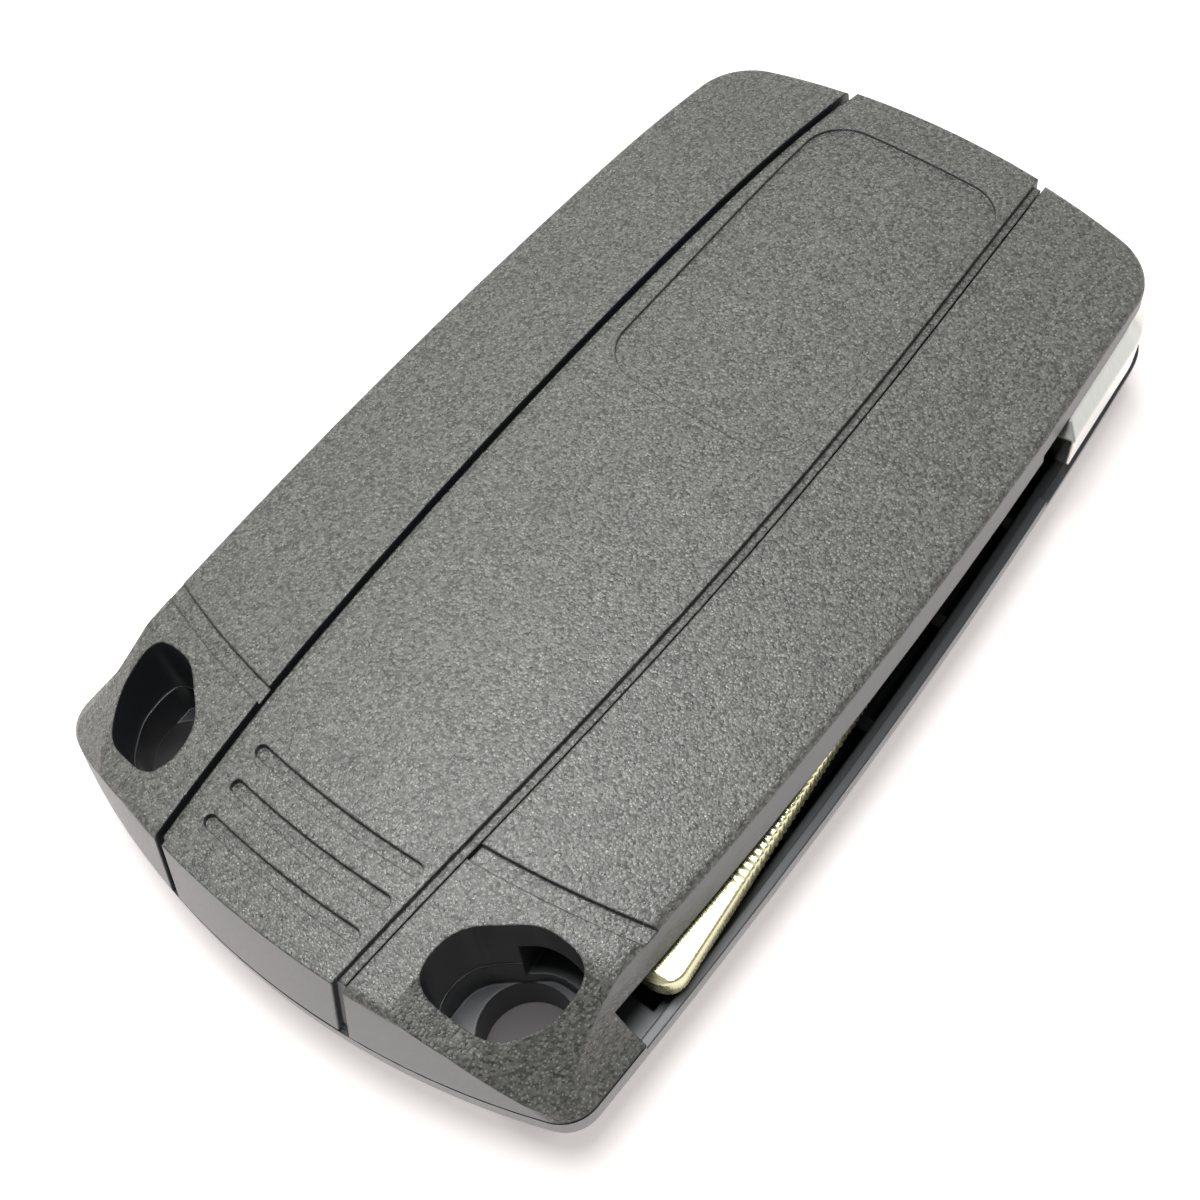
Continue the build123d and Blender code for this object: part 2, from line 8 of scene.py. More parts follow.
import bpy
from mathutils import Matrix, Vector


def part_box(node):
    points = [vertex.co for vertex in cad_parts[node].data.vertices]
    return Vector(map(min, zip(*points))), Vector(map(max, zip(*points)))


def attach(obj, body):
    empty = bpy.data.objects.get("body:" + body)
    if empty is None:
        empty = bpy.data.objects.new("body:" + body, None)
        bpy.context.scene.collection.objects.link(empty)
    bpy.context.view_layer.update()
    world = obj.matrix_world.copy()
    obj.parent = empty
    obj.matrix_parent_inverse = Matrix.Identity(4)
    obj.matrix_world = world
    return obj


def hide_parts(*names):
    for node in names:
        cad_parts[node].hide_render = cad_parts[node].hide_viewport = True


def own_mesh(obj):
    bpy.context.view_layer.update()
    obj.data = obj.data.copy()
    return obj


bl_info = {
    "name": "Flip key remote shell",
    "version": (1, 0, 0),
    "blender": (4, 5, 0),
    "location": "View3D > Sidebar > Flip Key",
    "description": "Builds the visible pieces and finishes of a folding key's remote shell",
    "category": "Object",
}

import bmesh
import bpy
import numpy as np
from mathutils import Matrix, Vector

MM = 0.001
OUTSIDE = "outside"     # corner attribute of the case pieces: 1 on the outer skin, 0 inside
BEVEL_SAMPLES = 6
FACTOR, FIRST, SECOND, MIXED = 0, 6, 7, 2   # sockets of a Mix node that mixes colours
TINY_LENGTH, TINY_AREA = 1e-12, 1e-18       # in metres: a degenerate face's directions stay finite
TURN = np.radians(np.arange(-180, 180))     # angles at which the radius of an opening is given
# Corners of the right keyring opening in plan, and the radius at each, in millimetres
KEYRING_CORNERS = ((9.75, -32.75), (9.75, -29.0), (13.5, -25.9), (17.0, -25.85), (16.75, -29.6),
                   (14.9, -32.35))
KEYRING_ROUNDS = (0.9, 3.0, 2.2, 0.9, 2.6, 2.2)

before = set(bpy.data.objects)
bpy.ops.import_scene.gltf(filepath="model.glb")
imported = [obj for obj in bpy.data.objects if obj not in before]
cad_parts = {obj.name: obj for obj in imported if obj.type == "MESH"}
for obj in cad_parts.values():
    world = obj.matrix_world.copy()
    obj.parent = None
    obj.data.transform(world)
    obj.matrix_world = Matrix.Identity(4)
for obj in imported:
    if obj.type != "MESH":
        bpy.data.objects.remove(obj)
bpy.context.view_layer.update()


# Units and boxes

def linear(code):
    """sRGB hex to linear RGBA: c/12.92 under 0.04045, else ((c + 0.055)/1.055)^2.4."""
    channels = []
    for start in (1, 3, 5):
        c = int(code[start:start + 2], 16) / 255
        channels.append(c / 12.92 if c <= 0.04045 else ((c + 0.055) / 1.055) ** 2.4)
    return (*channels, 1.0)


def box_mm(node):
    """Lowest and highest corners of a CAD node at rest, in millimetres."""
    low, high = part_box(node)
    return np.array(low) / MM, np.array(high) / MM


def pivot_mm():
    """Middle of the washer, which sits on the blade's axis."""
    low, high = box_mm("pivot_washer")
    return (low + high) / 2


# Shader nodes

def add(owner, kind, inputs=None, **settings):
    """Adds a shader node to a material or world, with its properties, values and links.

    An input, by its name or number, is given a value, or (node, output) to link it.
    """
    node = owner.node_tree.nodes.new("ShaderNode" + kind)
    for name, value in settings.items():
        setattr(node, name, value)
    for name, value in (inputs or {}).items():
        if isinstance(value, tuple) and isinstance(value[0], bpy.types.Node):
            owner.node_tree.links.new(value[0].outputs[value[1]], node.inputs[name])
        else:
            node.inputs[name].default_value = value
    return node


def new_material(name):
    """An empty node material."""
    material = bpy.data.materials.new(name)
    material.use_nodes = True
    material.node_tree.nodes.clear()
    return material


def in_view(owner):
    """Nodes that give 1 for a ray from the camera, a reflection or clear glass, and 0 otherwise."""
    path = add(owner, "LightPath")
    direct = add(owner, "Math", {0: (path, "Is Camera Ray"), 1: (path, "Is Glossy Ray")},
                 operation="MAXIMUM")
    return add(owner, "Math", {0: (direct, "Value"), 1: (path, "Is Transmission Ray")},
               operation="MAXIMUM")


# Finishes

def spark_eroded_abs(look):
    """ABS moulded against a spark-eroded steel tool.

    The tool's craters leave a matte skin of tiny domes on the broad faces.  Some domes get a
    painted
    highlight: bright specks painted into their colour for the glints.  The drawn walls of the tool
    are only stoned, so the case's sides keep less grain, and they are painted paler for the light
    that bounces up from the floor.  The inside is plain, and painted dark for the shade in the
    slot, the gaps and the tunnels.
    """
    wall_end, face_start = 0.2, 0.34    # how upright a normal is where walls end and faces start
    wall_grain = 0.15                   # share of the grain that the walls keep
    dust_share = 0.5                    # width of the dust between the domes, as a share of a dome
    cloud_width = 9                     # spacing of the slow changes in tone, in millimetres
    material = new_material("ABS moulded spark eroded")
    place = add(material, "TexCoord")
    rounded = add(material, "Bevel", {"Radius": look.edge_softness * MM}, samples=BEVEL_SAMPLES)
    outside = add(material, "Attribute", attribute_name=OUTSIDE, attribute_type="GEOMETRY")
    facing = add(material, "SeparateXYZ", {"Vector": (place, "Normal")})
    upright = add(material, "Math", {0: (facing, "Z")}, operation="ABSOLUTE")
    broad = add(material, "MapRange", {
        "Value": (upright, "Value"), "From Min": wall_end, "From Max": face_start})
    kept = add(material, "MapRange", {"Value": (broad, "Result"), "To Min": wall_grain})
    grained = add(material, "Math", {0: (kept, "Result"), 1: (outside, "Fac")},
                  operation="MULTIPLY")
    # The domes and the dust between them stand out where the face is grained
    domes = add(material, "TexVoronoi", {
        "Vector": (place, "Object"), "Scale": 1 / (look.grain * MM)})
    dust = add(material, "TexNoise", {
        "Vector": (place, "Object"), "Scale": 1 / (dust_share * look.grain * MM), "Detail": 2.0,
        "Roughness": 0.6})
    height = add(material, "Math", {0: (dust, "Fac"), 1: (domes, "Distance")},
                 operation="SUBTRACT")
    height = add(material, "Math", {0: (height, "Value"), 1: (grained, "Value")},
                 operation="MULTIPLY")
    bump = add(material, "Bump", {
        "Height": (height, "Value"), "Distance": look.grain_depth * MM, "Strength": 1.0,
        "Normal": (rounded, "Normal")})
    # Each dome draws its lot: red makes it a painted highlight, a bright speck painted in for a
    # glint, green sets its tone and blue its gloss
    lottery = add(material, "SeparateColor", {"Color": (domes, "Color")})
    lit = add(material, "MapRange", {
        "Value": (lottery, "Red"), "From Min": 1 - look.glint_paint_share, "To Max": look.glint_paint_strength})
    middle = add(material, "MapRange", {
        "Value": (domes, "Distance"), "From Min": 0.55, "From Max": 0.2})
    painted_glint = add(material, "Math", {0: (lit, "Result"), 1: (middle, "Result")},
                operation="MULTIPLY")
    painted_glint = add(material, "Math", {0: (painted_glint, "Value"), 1: (grained, "Value")},
                operation="MULTIPLY")
    cloud = add(material, "TexNoise", {
        "Vector": (place, "Object"), "Scale": 1 / (cloud_width * MM), "Detail": 3.0})
    tone = add(material, "Mix", {
        FACTOR: (cloud, "Fac"), FIRST: linear(look.case_dark), SECOND: linear(look.case_light)},
        data_type="RGBA")
    shade = add(material, "MapRange", {
        "Value": (lottery, "Green"), "To Min": 1 - look.mottle, "To Max": 1 + look.mottle})
    mottled = add(material, "VectorMath", {0: (tone, MIXED), "Scale": (shade, "Result")},
                  operation="SCALE")
    # Painted highlight: the chosen domes' colour goes towards the pale glint colour
    face = add(material, "Mix", {
        FACTOR: (painted_glint, "Value"), FIRST: (mottled, "Vector"), SECOND: linear(look.glint_paint_colour)},
        data_type="RGBA")
    # Painted light: upright walls take a paler colour for the light that bounces up onto them from
    # the floor
    tone_with_lit_walls = add(material, "Mix", {
        FACTOR: (broad, "Result"), FIRST: linear(look.lit_wall_colour), SECOND: (face, MIXED)},
        data_type="RGBA")
    # Edges and grooves, where the rounded normal leaves the surface's own, are painted darker:
    # painted shade for the grooves and for the rounded edges, which face away from the light
    surface = add(material, "NewGeometry")
    bend = add(material, "VectorMath", {0: (rounded, "Normal"), 1: (surface, "Normal")},
               operation="DOT_PRODUCT")
    edge_shade_factor = add(material, "MapRange", {
        "Value": (bend, "Value"), "From Min": 0.8, "From Max": 0.985, "To Min": look.painted_edge_shade})
    edge_shaded_tone = add(material, "VectorMath", {0: (tone_with_lit_walls, MIXED), "Scale": (edge_shade_factor, "Result")},
               operation="SCALE")
    # Painted shade: faces off the outer skin, in the slot, the gaps and the tunnels, take the dark
    # inside colour
    colour = add(material, "Mix", {
        FACTOR: (outside, "Fac"), FIRST: linear(look.shaded_inside_colour), SECOND: (edge_shaded_tone, "Vector")},
        data_type="RGBA")
    uneven = add(material, "MapRange", {
        "Value": (lottery, "Blue"), "To Min": -look.glint, "To Max": look.glint})
    rough = add(material, "Math", {
        0: (uneven, "Result"), 1: (grained, "Value"), 2: look.case_roughness},
        operation="MULTIPLY_ADD")
    shader = add(material, "BsdfPrincipled", {
        "Base Color": (colour, MIXED), "IOR": 1.53, "Roughness": (rough, "Value"),
        "Normal": (bump, "Normal")})
    add(material, "OutputMaterial", {"Surface": (shader, "BSDF")})
    return material


def moulded_rubber(name, colour, roughness, grain, ior):
    """A moulded rubber or plastic: satin, with a faint grain and slightly uneven tone."""
    cloud_width, darkest = 4, 0.75      # spacing in millimetres and depth of the changes in tone
    material = new_material(name)
    place = add(material, "TexCoord")
    noise = add(material, "TexNoise", {
        "Vector": (place, "Object"), "Scale": 1 / (grain * MM), "Detail": 2.0})
    bump = add(material, "Bump", {
        "Height": (noise, "Fac"), "Strength": 0.5, "Distance": 0.02 * MM})
    rough = add(material, "MapRange", {
        "Value": (noise, "Fac"), "To Min": roughness - 0.1, "To Max": roughness + 0.1})
    cloud = add(material, "TexNoise", {
        "Vector": (place, "Object"), "Scale": 1 / (cloud_width * MM)})
    shade = linear(colour)
    tone = add(material, "Mix", {
        FACTOR: (cloud, "Fac"), FIRST: shade,
        SECOND: tuple(darkest * c for c in shade[:3]) + (1.0,)}, data_type="RGBA")
    shader = add(material, "BsdfPrincipled", {
        "Base Color": (tone, MIXED), "IOR": ior, "Roughness": (rough, "Result"),
        "Normal": (bump, "Normal")})
    add(material, "OutputMaterial", {"Surface": (shader, "BSDF")})
    return material


def plated_metal(name, colour, roughness, ripple, depth, softness):
    """A plated metal: the bright skin follows the slow ripple of the casting or pressing under it.

    The ripple's spacing and depth and the softness of the edges are in millimetres.
    """
    material = new_material(name)
    place = add(material, "TexCoord")
    rounded = add(material, "Bevel", {"Radius": softness * MM}, samples=BEVEL_SAMPLES)
    noise = add(material, "TexNoise", {
        "Vector": (place, "Object"), "Scale": 1 / (ripple * MM), "Detail": 3.0,
        "Roughness": 0.6})
    bump = add(material, "Bump", {
        "Height": (noise, "Fac"), "Strength": 0.5, "Distance": depth * MM,
        "Normal": (rounded, "Normal")})
    rough = add(material, "MapRange", {
        "Value": (noise, "Fac"), "From Min": 0.3, "From Max": 0.7,
        "To Min": 0.7 * roughness, "To Max": 1.3 * roughness})
    shader = add(material, "BsdfPrincipled", {
        "Base Color": linear(colour), "Metallic": 1.0, "Roughness": (rough, "Result"),
        "Normal": (bump, "Normal")})
    add(material, "OutputMaterial", {"Surface": (shader, "BSDF")})
    return material


def milled_blank(look, rings):
    """Brass milled to a blank and plated pale nickel.

    The cutter leaves fine lines across the blade, the thin plating lets the brass warm it, and the
    tip's inner corner is burnt brown.
    """
    line_width, stretch = 0.08, 0.12    # the cutter's lines: spacing in millimetres, and shape
    burn = (1.3, 0.2, 0.6)              # from the middle of the tip to the burn, in millimetres
    material = new_material("Brass blank milled pale nickel")
    place = add(material, "TexCoord")
    centre = pivot_mm() * MM
    own = add(material, "Mapping", {
        "Vector": (place, "Object"), "Location": tuple(centre),
        "Rotation": (0, 0, look.stow_angle)}, vector_type="TEXTURE")
    squeezed = add(material, "Mapping", {
        "Vector": (own, "Vector"), "Scale": (stretch, 1, stretch)})
    lines = add(material, "TexNoise", {
        "Vector": (squeezed, "Vector"), "Scale": 1 / (line_width * MM), "Detail": 3.0})
    bump = add(material, "Bump", {
        "Height": (lines, "Fac"), "Strength": 0.6, "Distance": 0.008 * MM})
    rough = add(material, "MapRange", {
        "Value": (lines, "Fac"), "From Min": 0.3, "From Max": 0.7, "To Min": 0.2, "To Max": 0.36})
    end = rings[-1].mean(axis=0) + burn
    gap = add(material, "VectorMath", {0: (place, "Object"), 1: tuple(end * MM)},
              operation="DISTANCE")
    burnt = add(material, "MapRange", {
        "Value": (gap, "Value"), "From Min": 1.0 * MM, "From Max": 0.5 * MM})
    colour = add(material, "Mix", {
        FACTOR: (burnt, "Result"), FIRST: linear(look.blade_colour),
        SECOND: linear(look.stain_colour)}, data_type="RGBA")
    shader = add(material, "BsdfPrincipled", {
        "Base Color": (colour, MIXED), "Metallic": 1.0, "Roughness": (rough, "Result"),
        "Normal": (bump, "Normal")})
    add(material, "OutputMaterial", {"Surface": (shader, "BSDF")})
    return material


# Meshes

def mesh_from(name, points, quads, triangles=()):
    """A mesh from whole arrays of points (in millimetres), quads and triangles."""
    faces = [np.asarray(part, dtype=np.int32) for part in (quads, triangles) if len(part)]
    loops = np.concatenate([part.ravel() for part in faces])
    sizes = np.concatenate([np.full(len(part), part.shape[1], dtype=np.int32) for part in faces])
    mesh = bpy.data.meshes.new(name)
    mesh.vertices.add(len(points))
    mesh.vertices.foreach_set("co", (np.asarray(points) * MM).ravel())
    mesh.loops.add(len(loops))
    mesh.loops.foreach_set("vertex_index", loops)
    mesh.polygons.add(len(sizes))
    mesh.polygons.foreach_set("loop_start", np.concatenate([[0], np.cumsum(sizes)[:-1]]))
    mesh.update(calc_edges=True)
    mesh.validate()
    return mesh


def skin(name, rings):
    """A closed mesh over rings of points, shape (ring, around, 3).

    Ring i joins ring i+1 with quads, the last point of each ring joins the first, and a fan from
    the mean of the end ring closes each end.  The order of the rings and points decides which side
    is out, and the mesh is turned if its volume comes out negative.
    """
    count, around = rings.shape[:2]
    points = np.concatenate([rings.reshape(-1, 3), rings[:1].mean(axis=1), rings[-1:].mean(axis=1)])
    row, column = np.meshgrid(np.arange(count - 1), np.arange(around), indexing="ij")
    here, beside = row * around + column, row * around + (column + 1) % around
    quads = np.stack([here, beside, beside + around, here + around], axis=-1).reshape(-1, 4)
    step = np.arange(around)
    following = (step + 1) % around
    last = (count - 1) * around
    first_fan = np.stack([following, step, np.full(around, count * around)], axis=-1)
    last_fan = np.stack([last + step, last + following, np.full(around, count * around + 1)],
                        axis=-1)
    triangles = np.concatenate([first_fan, last_fan])
    halves = np.concatenate([quads[:, [0, 1, 2]], quads[:, [0, 2, 3]], triangles])
    volume = np.einsum("ij,ij->", points[halves[:, 0]],
                       np.cross(points[halves[:, 1]], points[halves[:, 2]]))
    if volume < 0:
        quads, triangles = quads[:, ::-1], triangles[:, ::-1]
    return mesh_from(name, points, quads, triangles)


def tube(path, radius_across, radius_up, around=12, closed=False):
    """Rings of an ellipse carried along a path that never runs straight up.

    At each point the ellipse lies across the path: its first axis is level, the cross product of
    the path's direction and up, and its second is square to both.
    """
    path = np.asarray(path, dtype=float)
    if closed:
        run = np.roll(path, -1, axis=0) - np.roll(path, 1, axis=0)
    else:
        run = np.gradient(path, axis=0)
    run /= np.linalg.norm(run, axis=1, keepdims=True)
    level = np.cross(run, (0, 0, 1))
    level /= np.linalg.norm(level, axis=1, keepdims=True)
    over = np.cross(level, run)
    turn = np.linspace(0, 2 * np.pi, around, endpoint=False)[None, :, None]
    rings = (path[:, None] + level[:, None] * radius_across * np.cos(turn)
             + over[:, None] * radius_up * np.sin(turn))
    return np.concatenate([rings, rings[:1]]) if closed else rings


def lathe(radii, heights, centre, around=96):
    """Rings of a profile turned about a vertical axis: (r cos a, r sin a, z) for each point."""
    turn = np.linspace(0, 2 * np.pi, around, endpoint=False)
    radii, heights = np.asarray(radii)[:, None], np.asarray(heights)[:, None]
    return np.stack([centre[0] + radii * np.cos(turn), centre[1] + radii * np.sin(turn),
                     heights + 0 * turn], axis=-1)


def rounded_rectangle(half_x, half_y, corner, per_corner=10):
    """Points round a rectangle whose corners are quarter circles, anticlockwise from +X."""
    turn = np.linspace(0, np.pi / 2, per_corner)
    turns = (turn + np.pi / 2 * np.arange(4)[:, None]).ravel()
    sign_x = np.repeat((1, -1, -1, 1), per_corner)
    sign_y = np.repeat((1, 1, -1, -1), per_corner)
    return np.stack([sign_x * (half_x - corner) + corner * np.cos(turns),
                     sign_y * (half_y - corner) + corner * np.sin(turns)], axis=-1)


def piece(name, mesh, material, body, slot, *nodes, sharp_deg=35.0):
    """Links a mesh as a finished piece that rides on a body and stands for CAD nodes."""
    mesh.materials.append(material)
    mesh.shade_smooth()
    mesh.set_sharp_from_angle(angle=np.radians(sharp_deg))
    return enrol(bpy.data.objects.new(name, mesh), body, slot, *nodes)


def enrol(item, body, slot, *nodes):
    """Links an object to the scene, on its body, and hides the nodes it stands for.  The slot is
    not used.
    """
    bpy.context.scene.collection.objects.link(item)
    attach(item, body)
    if nodes:
        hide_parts(*nodes)
    return item


def joined_regions(count, one, two):
    """Number of the connected group that each of count faces is in, given pairs of joined faces.

    The two faces of a pair take the lower of their labels, over and over, until all agree.
    """
    label = np.arange(count)
    while (label[one] != label[two]).any():
        parent = np.arange(count)
        low, high = np.sort([label[one], label[two]], axis=0)
        np.minimum.at(parent, high, low)
        while (parent[parent] != parent).any():
            parent = parent[parent]
        label = parent[label]
    return np.unique(label, return_inverse=True)[1]


def surface_normals(points, triangles, gentle_deg=8.5, broad=0.85 * MM, reach_deg=32.0):
    """A normal for each corner of each triangle, following the smooth surfaces they approximate.

    Triangles that meet at less than gentle_deg form one surface.  On a broad surface, whose doubled
    area over its outline's length passes broad, a corner's normal is the mean of that surface's own
    faces there, weighted by area and angle.  A narrow strip, such as one step of a rounded edge,
    takes the normals of the broad surfaces it runs into, or else of the strips beside it.
    """
    broad_pull = 1e4        # any broad surface outweighs all strips
    corners = points[triangles]
    sides = np.roll(corners, -1, axis=1) - corners
    cross = np.cross(sides[:, 0], sides[:, 1])
    area = np.linalg.norm(cross, axis=1)
    normal = cross / np.maximum(area, TINY_AREA)[:, None]
    run = sides / np.maximum(np.linalg.norm(sides, axis=2, keepdims=True), TINY_LENGTH)
    angle = np.arccos(np.clip(-(run * np.roll(run, 1, axis=1)).sum(axis=2), -1, 1))

    # Faces that share an edge, and the regions that the gentle edges join
    ends = np.stack([triangles, np.roll(triangles, -1, axis=1)], axis=-1)
    ends = np.sort(ends.reshape(-1, 2), axis=1)
    key = ends[:, 0] * len(points) + ends[:, 1]
    order = np.argsort(key, kind="stable")
    shared = np.flatnonzero(key[order][1:] == key[order][:-1])
    one, two = order[shared] // 3, order[shared + 1] // 3
    length = np.linalg.norm(sides.reshape(-1, 3), axis=1)[order[shared]]
    gentle = (normal[one] * normal[two]).sum(axis=1) > np.cos(np.radians(gentle_deg))
    region = joined_regions(len(triangles), one[gentle], two[gentle])
    border = region[one] != region[two]
    outline = (np.bincount(region[one], length * border, region.max() + 1)
               + np.bincount(region[two], length * border, region.max() + 1))
    region_area = np.bincount(region, area / 2)
    is_broad = 2 * region_area > broad * np.maximum(outline, TINY_LENGTH)

    # The mean normal at each pair of a vertex and a region that it belongs to
    pair_key = triangles.astype(np.int64) * (region.max() + 1) + region[:, None]
    pairs, pair_of = np.unique(pair_key.ravel(), return_inverse=True)
    weight = (area[:, None] * angle).ravel()
    mean = np.stack([np.bincount(pair_of, weight * np.repeat(part, 3)) for part in normal.T],
                    axis=-1)
    mean /= np.maximum(np.linalg.norm(mean, axis=1, keepdims=True), TINY_AREA)
    pair_vertex, pair_region = np.divmod(pairs, region.max() + 1)
    found = mean[pair_of]

    # A strip's corner takes the mean of the regions round its vertex, the broad ones before all
    loops = np.flatnonzero(np.repeat(~is_broad[region], 3))
    vertex = triangles.ravel()[loops]
    start = np.searchsorted(pair_vertex, vertex)
    counts = np.searchsorted(pair_vertex, vertex, side="right") - start
    owner = np.repeat(np.arange(len(loops)), counts)
    passed = np.concatenate([[0], np.cumsum(counts)[:-1]])
    choice = np.repeat(start - passed, counts) + np.arange(len(owner))
    own = normal[loops[owner] // 3]
    near = (mean[choice] * own).sum(axis=1) > np.cos(np.radians(reach_deg))
    chosen = pair_region[choice]
    pull = near * region_area[chosen] * np.where(is_broad[chosen], broad_pull, 1.0)
    total = np.stack([np.bincount(owner, pull * part, len(loops)) for part in mean[choice].T],
                     axis=-1)
    size = np.linalg.norm(total, axis=1, keepdims=True)
    found[loops] = np.where(size > 0, total / np.where(size > 0, size, 1), normal[loops // 3])
    return found


def outer_share(points, triangles, whole, slack=4.0):
    """1 for each triangle on the outer skin of a bulging whole, 0 inside.

    A triangle is outside if nothing of the whole reaches more than slack millimetres further along
    the triangle's own normal.
    """
    corners = points[triangles]
    normal = np.cross(corners[:, 1] - corners[:, 0], corners[:, 2] - corners[:, 0])
    normal /= np.maximum(np.linalg.norm(normal, axis=1, keepdims=True), TINY_AREA)
    ahead = (normal @ whole.T).max(axis=1) - (normal * corners.mean(axis=1)).sum(axis=1)
    return (ahead < slack * MM).astype(float)


def farthest_points(points, count=900):
    """The points that reach farthest in directions spread over a sphere by the golden angle."""
    index = np.arange(count) + 0.5
    lift = 1 - 2 * index / count
    turn = np.pi * (1 + np.sqrt(5)) * index
    flat = np.sqrt(1 - lift ** 2)
    spread = np.stack([flat * np.cos(turn), flat * np.sin(turn), lift], axis=-1)
    return points[np.unique((points @ spread.T).argmax(axis=0))]


def case_hull():
    """Points on the outer skin of the closed case."""
    nodes = ("back_shell", "front_shell", "battery_cover")
    skins = [read(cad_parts[node].data.vertices, "co", 3) for node in nodes]
    return farthest_points(np.concatenate(skins))


def filleted(corners, rounds, per_corner=12):
    """A polygon's outline, with each corner replaced by the arc that touches both of its sides.

    The arc's middle is on the corner's bisector, the radius over the sine of the half angle away.
    """
    corners, rounds = np.asarray(corners, dtype=float), np.asarray(rounds, dtype=float)
    sides = [np.roll(corners, shift, axis=0) - corners for shift in (1, -1)]
    back, ahead = (side / np.linalg.norm(side, axis=1, keepdims=True) for side in sides)
    half = np.arccos((back * ahead).sum(axis=1)) / 2
    inward = (back + ahead) / np.linalg.norm(back + ahead, axis=1, keepdims=True)
    centre = corners + inward * (rounds / np.sin(half))[:, None]
    reach = (rounds / np.tan(half))[:, None]
    first, last = (np.arctan2(*(corners + side * reach - centre).T[::-1]) for side in (back, ahead))
    sweep = (last - first + np.pi) % (2 * np.pi) - np.pi
    angle = first[:, None] + sweep[:, None] * np.linspace(0, 1, per_corner)
    circle = np.stack([np.cos(angle), np.sin(angle)], axis=-1)
    return (centre[:, None] + rounds[:, None, None] * circle).reshape(-1, 2)


def opening_radii(look, side):
    """A keyring opening's middle, and its outline's radius before and after rounding.

    Both are given at the angles of TURN, and the second is the first blurred by a Gaussian over
    the angle, done on its Fourier series.  The side is 1 for the right opening and -1 for the left.
    """
    corners = np.array(KEYRING_CORNERS) * (side, 1)
    middle = corners.mean(axis=0)
    flat = stroke(filleted(corners, KEYRING_ROUNDS), closed=True) - middle
    angle = np.arctan2(flat[:, 1], flat[:, 0])
    order = np.argsort(angle)
    radius = np.interp(TURN, angle[order], np.hypot(*flat.T)[order], period=2 * np.pi)
    series = np.fft.rfft(radius)
    series *= np.exp(-(np.arange(len(series)) * look.opening_blur) ** 2 / 2)
    return middle, radius, np.fft.irfft(series, len(radius))


def at_angle(flat, radii):
    """Reads radii, given at the angles of TURN, at each point's own angle."""
    return np.interp(np.arctan2(flat[:, 1], flat[:, 0]), TURN, radii, period=2 * np.pi)


def near_outline(points, middle, radii):
    """Which points stand on the wall of an opening, over the ring's ledge.

    They lie within reach of a line that runs inset inside the outline, all in millimetres.
    """
    inset, reach, ledge = 0.12, 0.26, 4.1
    flat = points[:, :2] - middle
    gap = np.abs(np.hypot(*flat.T) + inset - at_angle(flat, radii))
    return (gap < reach) & (points[:, 2] > ledge)


def read(values, key, width, kind=float):
    """One property of a mesh's vertices or edges, as rows."""
    rows = np.empty(len(values) * width, dtype=kind)
    values.foreach_get(key, rows)
    return rows.reshape(-1, width)


def cut_walls(mesh, look):
    """Divides the long edges on the walls of the two openings, so that they can bend."""
    longest, cuts = 0.4, 5      # longest edge left whole, in millimetres in plan
    ends = read(mesh.vertices, "co", 3)[read(mesh.edges, "vertices", 2, np.int32)] / MM
    chosen = np.zeros(len(ends), dtype=bool)
    for side in (-1, 1):
        middle, radii = opening_radii(look, side)[:2]
        chosen |= near_outline(ends[:, 0], middle, radii) & near_outline(ends[:, 1], middle, radii)
    chosen &= np.linalg.norm(ends[:, 0, :2] - ends[:, 1, :2], axis=1) > longest
    work = bmesh.new()
    work.from_mesh(mesh)
    work.edges.ensure_lookup_table()
    edges = [work.edges[index] for index in np.flatnonzero(chosen)]
    bmesh.ops.subdivide_edges(work, edges=edges, cuts=cuts)
    bmesh.ops.triangulate(work, faces=work.faces)
    work.to_mesh(mesh)
    work.free()


def round_walls(points, triangles, look):
    """Moves the walls of the two openings in plan from their first radius to the rounded one.

    A point that also belongs to a face that looks up keeps to that face's slope.
    """
    steepest = 0.25         # height of the normal of the steepest face that still looks up
    corners = points[triangles]
    normals = np.cross(corners[:, 1] - corners[:, 0], corners[:, 2] - corners[:, 0])
    lying = normals[:, 2] > steepest * np.linalg.norm(normals, axis=1)
    top = np.zeros_like(points)
    np.add.at(top, triangles[lying].ravel(), np.repeat(normals[lying], 3, axis=0))
    for side in (-1, 1):
        middle, before, after = opening_radii(look, side)
        flat = points[:, :2] / MM - middle
        move = (at_angle(flat, after) / at_angle(flat, before) - 1)[:, None] * flat * MM
        move *= near_outline(points / MM, middle, before)[:, None]
        slope = top[:, :2] / np.maximum(top[:, 2:], TINY_AREA)
        points = points + np.concatenate([move, -(slope * move).sum(axis=1, keepdims=True)], axis=1)
    return points


def dressed_copy(name, node, body, material, slot, whole=None, look=None):
    """A CAD node's mesh with its doubles merged and its surfaces shaded smooth, standing for it.

    With the points of the whole case's skin, it marks which faces are outside.  With a look, it
    rounds the walls of the keyring openings.
    """
    merged, degenerate = 0.002, 0.0005      # in millimetres
    mesh = bpy.data.meshes.new(name)
    work = bmesh.new()
    work.from_mesh(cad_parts[node].data)
    bmesh.ops.remove_doubles(work, verts=work.verts, dist=merged * MM)
    bmesh.ops.dissolve_degenerate(work, edges=work.edges, dist=degenerate * MM)
    bmesh.ops.triangulate(work, faces=work.faces)
    work.to_mesh(mesh)
    work.free()
    if look is not None:
        cut_walls(mesh, look)
    points = read(mesh.vertices, "co", 3)
    triangles = read(mesh.loops, "vertex_index", 1, np.int32).reshape(-1, 3)
    if look is not None:
        points = round_walls(points, triangles, look)
        mesh.vertices.foreach_set("co", points.ravel())
    if whole is not None:
        outside = mesh.attributes.new(OUTSIDE, "FLOAT", "CORNER")
        outside.data.foreach_set("value", np.repeat(outer_share(points, triangles, whole), 3))
    mesh.shade_smooth()
    mesh.normals_split_custom_set(surface_normals(points, triangles))
    mesh.materials.clear()
    mesh.materials.append(material)
    return enrol(bpy.data.objects.new(name, mesh), body, slot, node)


# Shapes of the new pieces

